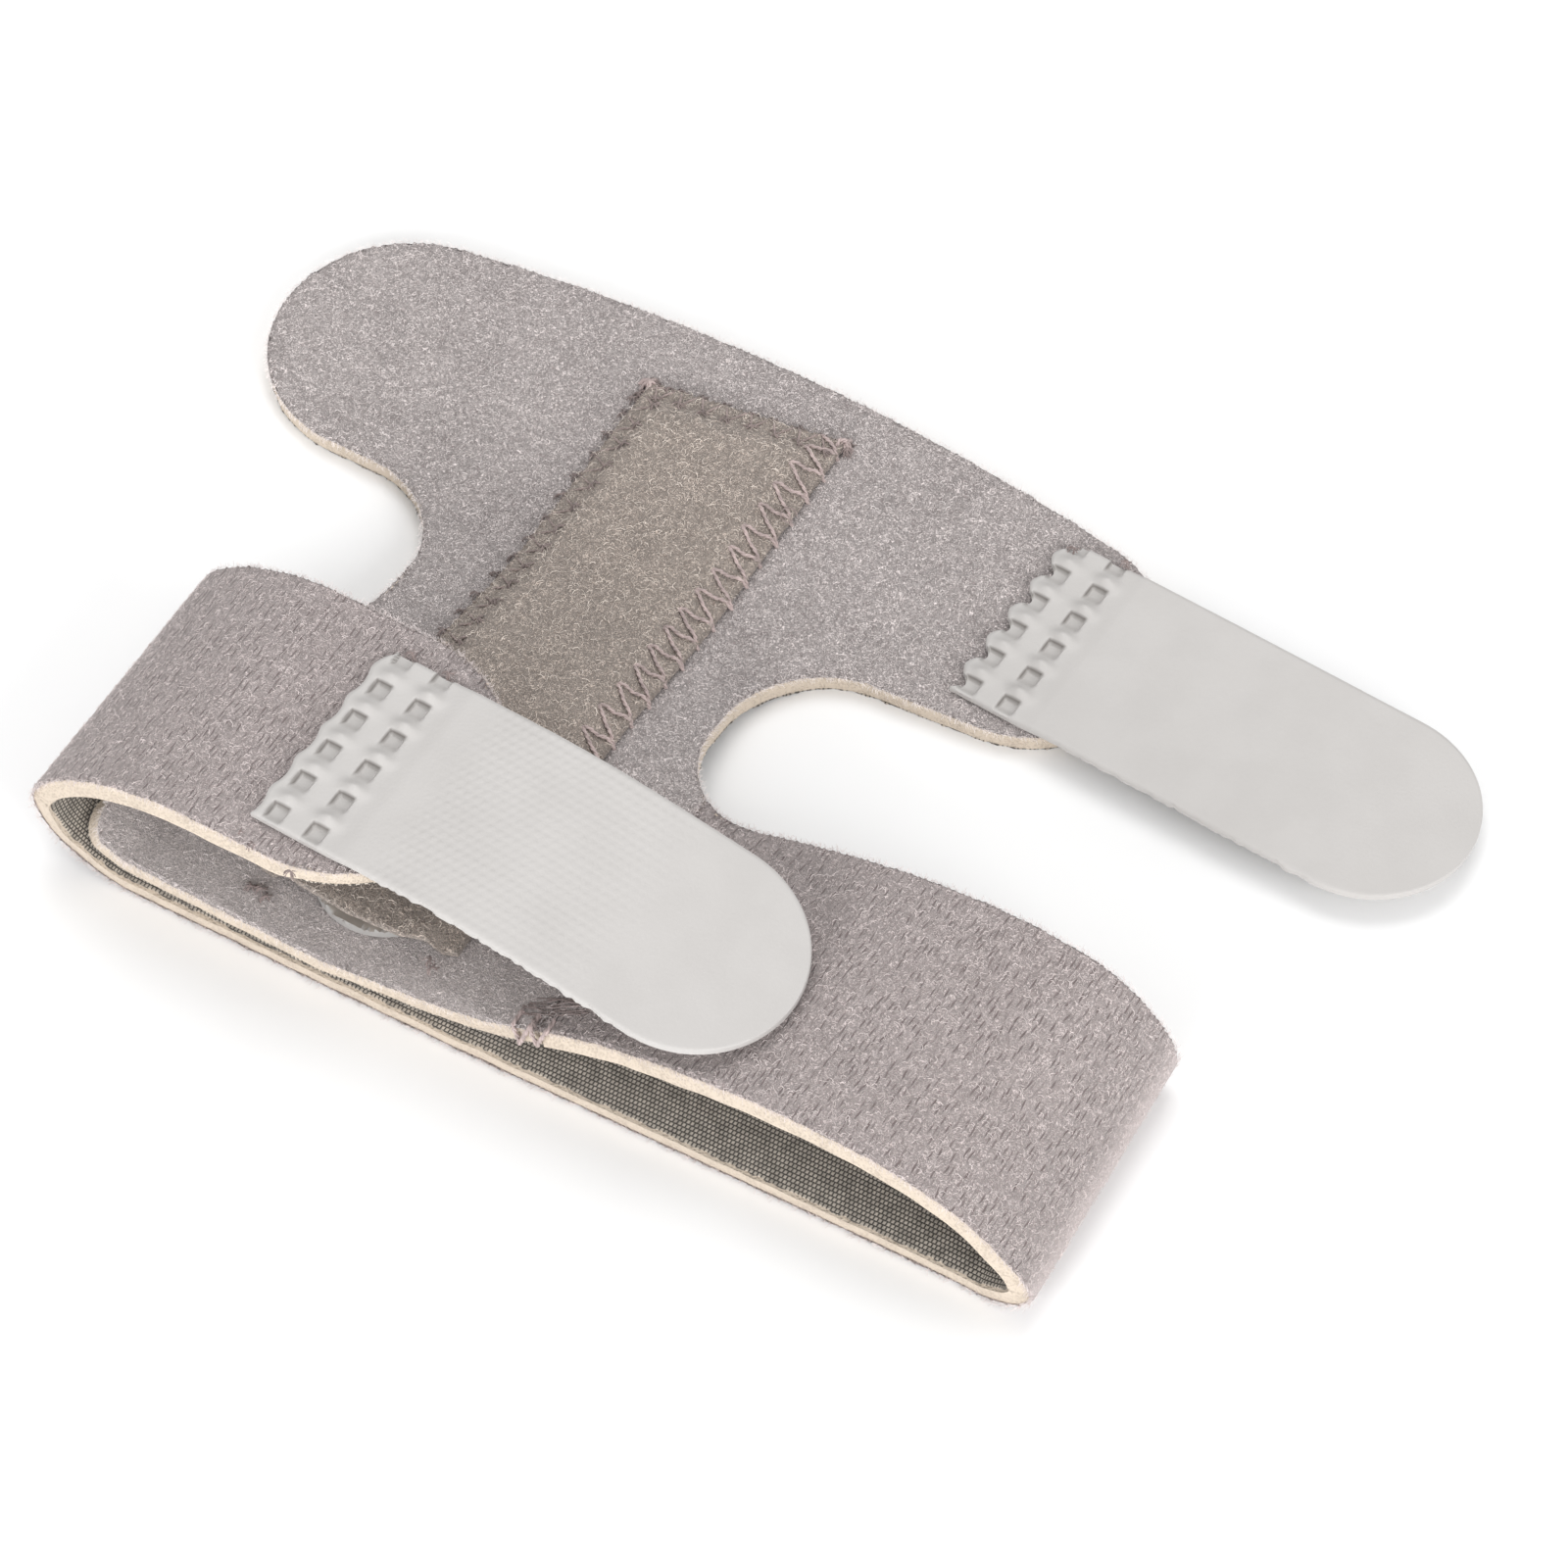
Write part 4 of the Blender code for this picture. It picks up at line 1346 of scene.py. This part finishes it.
def hook_field(name, shape, place, look):
    """The field of hooks under a tab."""
    dice = random.Random(31)
    places = []
    rows = int(shape.half / HOOK_PITCH)
    for i in range(int(TAB_LENGTH / HOOK_PITCH)):
        for row in range(-rows, rows + 1):
            along = i * HOOK_PITCH + (row % 2) * HOOK_PITCH / 2
            across = row * HOOK_PITCH * 0.985
            room = shape.half_width(along + HOOK_PITCH / 2) - 0.1 * MM
            if along < shape.columns[1] + 6 * MM or abs(across) > room:
                continue
            spin = Matrix.Rotation(dice.uniform(0, 2 * math.pi), 4, "Z")
            places.append(stand(place, along, across, HOOK_ROOT) @ spin)
    return spread(name, [hook_shape()], places, look)


# Stitches


def stitch_run(place, start, end, arch, dip):
    """One thread over the cloth from one needle hole to the next, sunk at both ends."""
    heights = ((0.0, -dip), (0.2, arch * 0.8), (0.5, arch), (0.8, arch * 0.8), (1.0, -dip))
    return [place(*between(start, end, share), height) for share, height in heights]


def zigzag(outer, inner, arch, seed):
    """Threads that run to and fro between two rows of needle holes of the pocket."""
    dice = random.Random(seed)
    runs = []
    holes = []
    for hole in (value for pair in zip(outer, inner) for value in pair):
        holes.append((hole[0] + dice.gauss(0, 0.12 * MM), hole[1] + dice.gauss(0, 0.12 * MM)))
    for start, end in zip(holes, holes[1:]):
        height = arch * dice.uniform(0.8, 1.3)
        runs.append(stitch_run(pocket_top, start, end, height, NEEDLE_DEPTH))
    return runs, holes


def top_holes():
    """Needle holes of the zigzag along the patch's upper edge."""
    outer = []
    inner = []
    for i in range(int(PATCH_WIDTH / TOP_PITCH) + 1):
        x = PATCH_RIGHT - i * TOP_PITCH
        edge = patch_edge(x)
        outer.append((x, edge + 0.4 * MM))
        inner.append((x - TOP_PITCH / 2, edge - 2.8 * MM))
    return outer, inner


def side_holes(x_outer, x_inner, low, high, lead):
    """Needle holes of a zigzag along a side of the patch."""
    heights = [low + i * STITCH_PITCH for i in range(int((high - low) / STITCH_PITCH) + 1)]
    return [(x_outer, y) for y in heights], [(x_inner, y + lead) for y in heights]


def curl_run(centre, radius, start, end, tilt, rise=0.0):
    """A loose loop of thread round a point."""
    turn = Matrix.Rotation(tilt[0], 3, "X") @ Matrix.Rotation(tilt[1], 3, "Y")
    points = []
    for i in range(13):
        angle = mix(start, end, i / 12)
        spot = Vector((radius * math.cos(angle), radius * math.sin(angle), rise * i / 12))
        points.append(Vector(centre) + turn @ spot)
    return points


def knot_runs(place, spots, size, seed):
    """Short tangled ends of thread at each spot."""
    dice = random.Random(seed)
    runs = []
    for x, y, height in spots:
        for strand in range(5):
            angle = dice.uniform(0, 2 * math.pi)
            run = []
            for step in range(5):
                share = step / 4
                reach = size * (share - 0.4)
                bend = angle + 1.2 * share
                lift = height + size * 0.35 * math.sin(math.pi * share) - 0.1 * MM
                run.append(place(x + reach * math.cos(bend), y + reach * math.sin(bend), lift))
            runs.append(run)
    return runs


def free_point(x, y, height):
    """A point given by its own height over the table."""
    return Vector((x, y, height))


def scaled_spot(spot):
    """A spot of the tables in metres."""
    return tuple(part * MM for part in spot)


# Loose thread ends on the strap, in mm (x, y, z)
STRAP_ENDS = (
    (-36.9, -16.5, 21.5),
    (-31.5, -17.4, 21.3),
    (-38.9, -15.9, 21.5),
    (-35.4, 12.2, 22.3),
    (-30.6, 11.9, 22.3),
    (-4.2, -14.3, 9.2),
)
# Loose thread ends on the wrap, in mm (x, y, z)
WRAP_ENDS = (
    (-41.1, -13.5, 6.2),
    (-39.9, -13.2, 6.3),
    (-38.9, -13.8, 6.2),
    (-18.6, -12.4, 7.5),
    (-17.9, -13.1, 7.5),
    (13.8, 73.6, 4.0),
    (20.1, 74.8, 4.0),
)
# A loose curl of thread by the patch's right side, in mm (x, y, z)
LOOSE_CURL = (-16.8, 61.1, 4.6)
# Loops of the seam's thread over the foam's edge, in mm (left x, right x, depth)
TACK_LOOPS = ((-6.4, -4.4, 2.8), (-4.2, -2.2, 2.4))
TACK_FRONT = (-7.2, -12.3)
TACK_BACK = (1.0, -10.1)
TACK_STRANDS = 7


def tack_runs():
    """Strands of the bar tack at the seam's front end, side by side over both cloths."""
    dice = random.Random(71)
    runs = []
    for i in range(TACK_STRANDS):
        shift = (i - TACK_STRANDS / 2) * 0.42
        run = []
        for step in range(6):
            share = mix(0.12 * dice.random(), 1 - 0.12 * dice.random(), step / 5)
            x, y = between(TACK_FRONT, TACK_BACK, share)
            y += shift + dice.gauss(0, 0.16)
            run.append(seam_point(x * MM - SEAM, y * MM, 0.05 * MM * dice.uniform(-2.0, 2.0)))
        runs.append(run)
    return runs


def tack_loops():
    """Loops of thread that hang over the foam at the seam's front end."""
    front = SEAM_SHIFT - HALF_STRAP
    runs = []
    edge = Vector((0, -1.9 * MM, 0))
    for left, right, depth in TACK_LOOPS:
        top = seam_point(left * MM - SEAM, front + 1.6 * MM, 0.15 * MM)
        end = seam_point(right * MM - SEAM, front + 1.4 * MM, 0.15 * MM)
        low = (top + end) / 2 + Vector((0, -2.3 * MM, -depth * MM))
        down = [top, top + edge, mix(top + edge, low, 0.7)]
        runs.append(down + [low, mix(end + edge, low, 0.7), end + edge, end])
    return runs


# Scene


def light(name, spot, target, size, power):
    """A soft square studio light that looks at a point."""
    data = bpy.data.lights.new(name, "AREA")
    data.size = size
    data.energy = power
    lamp = new_object(name, data)
    lamp.location = spot
    lamp.rotation_euler = (Vector(target) - Vector(spot)).to_track_quat("-Z", "Y").to_euler()


def camera():
    """The photograph's viewpoint: its turn about Z and its height over the table."""
    level = math.cos(VIEW_HEIGHT)
    right = Vector((math.cos(VIEW_TURN), math.sin(VIEW_TURN), 0))
    ahead = Vector((-right.y * level, right.x * level, -math.sin(VIEW_HEIGHT)))
    data = bpy.data.cameras.new("view")
    data.lens = LENS
    data.sensor_width = SENSOR
    data.clip_start = 0.01
    holder = new_object("view", data)
    axes = Matrix((right, right.cross(ahead), -ahead)).transposed().to_4x4()
    holder.matrix_world = Matrix.Translation(Vector(VIEW_TARGET) - ahead * VIEW_DISTANCE) @ axes
    bpy.context.scene.camera = holder


def studio():
    """Pale floor, soft light from behind and above, and a softer fill from two sides."""
    mesh = bmesh.new()
    bmesh.ops.create_grid(mesh, x_segments=1, y_segments=1, size=3.0)
    data = mesh_data("floor", mesh)
    sockets = {"Specular_IOR_Level": 0.0, "Base_Color": FLOOR_COLOUR}
    data.materials.append(new_look("floor_pale", 0.9, **sockets)[0])
    new_object("floor", data)
    for row in LIGHTS:
        light(*row)
    world = bpy.data.worlds.new("sky")
    world.use_nodes = True
    world.node_tree.nodes["Background"].inputs["Color"].default_value = (1, 1, 1, 1)
    world.node_tree.nodes["Background"].inputs["Strength"].default_value = SKY_STRENGTH
    bpy.context.scene.world = world
    bpy.context.scene.view_settings.view_transform = "Standard"


def make_pocket(looks):
    """The pocket's cloth and its fibres."""
    cloth, fibre = looks
    cut = trimmed(patch_pattern(), 0.0, 0.12 * MM, 1.5 * MM, 7.0)
    pocket = cloth_layer(
        "splint_pocket_cloth", cut, (0.0, PATCH_THICKNESS), PATCH_STEPS,
        pocket_point, cloth, ROUND_EDGE, nap_relief,
    )
    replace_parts(pocket, "splint_pocket")
    spots = nap_places(patch_pattern(), pocket_point, POCKET_FIBRES, PATCH_THICKNESS, 21)
    return [pocket, spread("splint_pocket_fibres", LONG_CURLS, spots, fibre)]


def make_stay():
    """The plastic strip in the pocket."""
    cut = trimmed(stay_pattern(), 0.0, 0.0, MM, 0.0)
    heights = (CLEARANCE, CLEARANCE + STAY_THICKNESS)
    stay = cloth_layer(
        "splint_stay_plate", cut, heights, STAY_STEPS,
        wrap_point, stay_look(), ROUND_EDGE,
    )
    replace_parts(stay, "splint_stay")


def make_tabs():
    """Both hook tabs with their hooks."""
    look = tab_look()
    toe = TabShape(TOE_PIT_INSET, (1.0 * MM, 0.45 * MM), False, 4.0)
    foot = TabShape(FOOT_PIT_INSET, (0.15 * MM, 0.30 * MM), True, 9.0)
    tabs = ("toe_tab", toe, toe_tab_point), ("foot_tab", foot, foot_tab_point)
    for name, shape, place in tabs:
        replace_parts(hook_tab(name + "_sheet", shape, place, look), name)
        hook_field(name + "_hooks", shape, place, look)


def pocket_threads(thread, shaded_sunk_thread, dark):
    """Zigzag stitches round the pocket, those that sink in the nap with painted shade, and its
    loose ends.
    """
    left, right = PATCH_LEFT, PATCH_RIGHT
    foot, top, high = PATCH_FOOT, PATCH_TOP, PATCH_TOP - PATCH_SLANT
    holes = side_holes(right + 0.3 * MM, right - 3.8 * MM, foot + 4 * MM, top - MM, 2.3 * MM)
    runs = zigzag(*holes, 0.30 * MM, 41)[0]
    holes = side_holes(left - 0.6 * MM, left + 2.6 * MM, foot + MM, high - MM, 1.8 * MM)
    sunk, side = zigzag(*holes, -0.02 * MM, 42)
    more, upper = zigzag(*top_holes(), 0.02 * MM, 43)
    sunk += more
    for x, y in ((left - 0.2 * MM, high), (right, top)):
        runs += knot_runs(pocket_top, [(x, y, 0.1 * MM)], 2.2 * MM, 45)
    tufts = [(x, y, 0.05 * MM) for x, y in side + upper]
    tufts += [(left, high + 0.6 * MM, 0.2 * MM), (right + 0.5 * MM, top - 0.6 * MM, 0.2 * MM)] * 2
    ends = knot_runs(pocket_top, tufts, 1.5 * MM, 51)
    return [
        thread_piece("splint_pocket_stitches", runs, STITCH_THREAD, thread),
        thread_piece("splint_pocket_sunk_stitches", sunk, SUNK_THREAD, shaded_sunk_thread),
        thread_piece("splint_pocket_thread_ends", ends, POCKET_END_THREAD, dark),
    ]


def main():
    group = brushed_nap_group()
    foam, lining = foam_look(), lining_look()
    wrap_cut, strap_cut = wrap_pattern(), strap_pattern()
    looks = nap_looks("wrap", group, WRAP_NAP), foam, lining
    wrap = laminate("toe_wrap", wrap_cut, wrap_point, WRAP_STEPS, looks, lobe_painted_light)
    looks = nap_looks("strap", group, STRAP_NAP, 1.0, STRAP_EVENNESS), foam, lining
    strap = laminate(
        "foot_strap", strap_cut, strap_point, STRAP_STEPS, looks, fold_share, SLANT
    )
    pocket = make_pocket(nap_looks("pocket", group, POCKET_NAP))
    make_stay()
    make_tabs()

    thread = plain_look("thread_taupe", (0.46, 0.37, 0.355), 0.75, 0.2)
    # Painted shade: a darker copy of the taupe thread, for the stitches sunk in the nap
    shaded_sunk_thread = plain_look("thread_sunk_shaded", (0.32, 0.255, 0.24), 0.8, 0.2)
    dark_thread = plain_look("thread_shaded", (0.26, 0.205, 0.195), 0.8, 0.2)
    pocket += pocket_threads(thread, shaded_sunk_thread, dark_thread)
    seam = thread_piece("seam_stitches", tack_loops(), SEAM_THREAD, thread)
    tack = thread_piece("seam_tack", tack_runs(), TACK_THREAD, dark_thread)
    spots = [scaled_spot(spot) for spot in STRAP_ENDS]
    runs = knot_runs(free_point, spots, 1.4 * MM, 61)
    strap_ends = thread_piece(
        "foot_strap_thread_ends", runs, STRAP_END_THREAD, dark_thread
    )
    spots = [scaled_spot(spot) for spot in WRAP_ENDS]
    runs = knot_runs(free_point, spots, 1.35 * MM, 62)
    runs.append(curl_run(scaled_spot(LOOSE_CURL), 0.95 * MM, 0.4, 5.4, (0.2, 0.1), 0.3 * MM))
    wrap_ends = thread_piece(
        "toe_wrap_thread_ends", runs, WRAP_END_THREAD, dark_thread
    )

    studio()
    camera()


main()
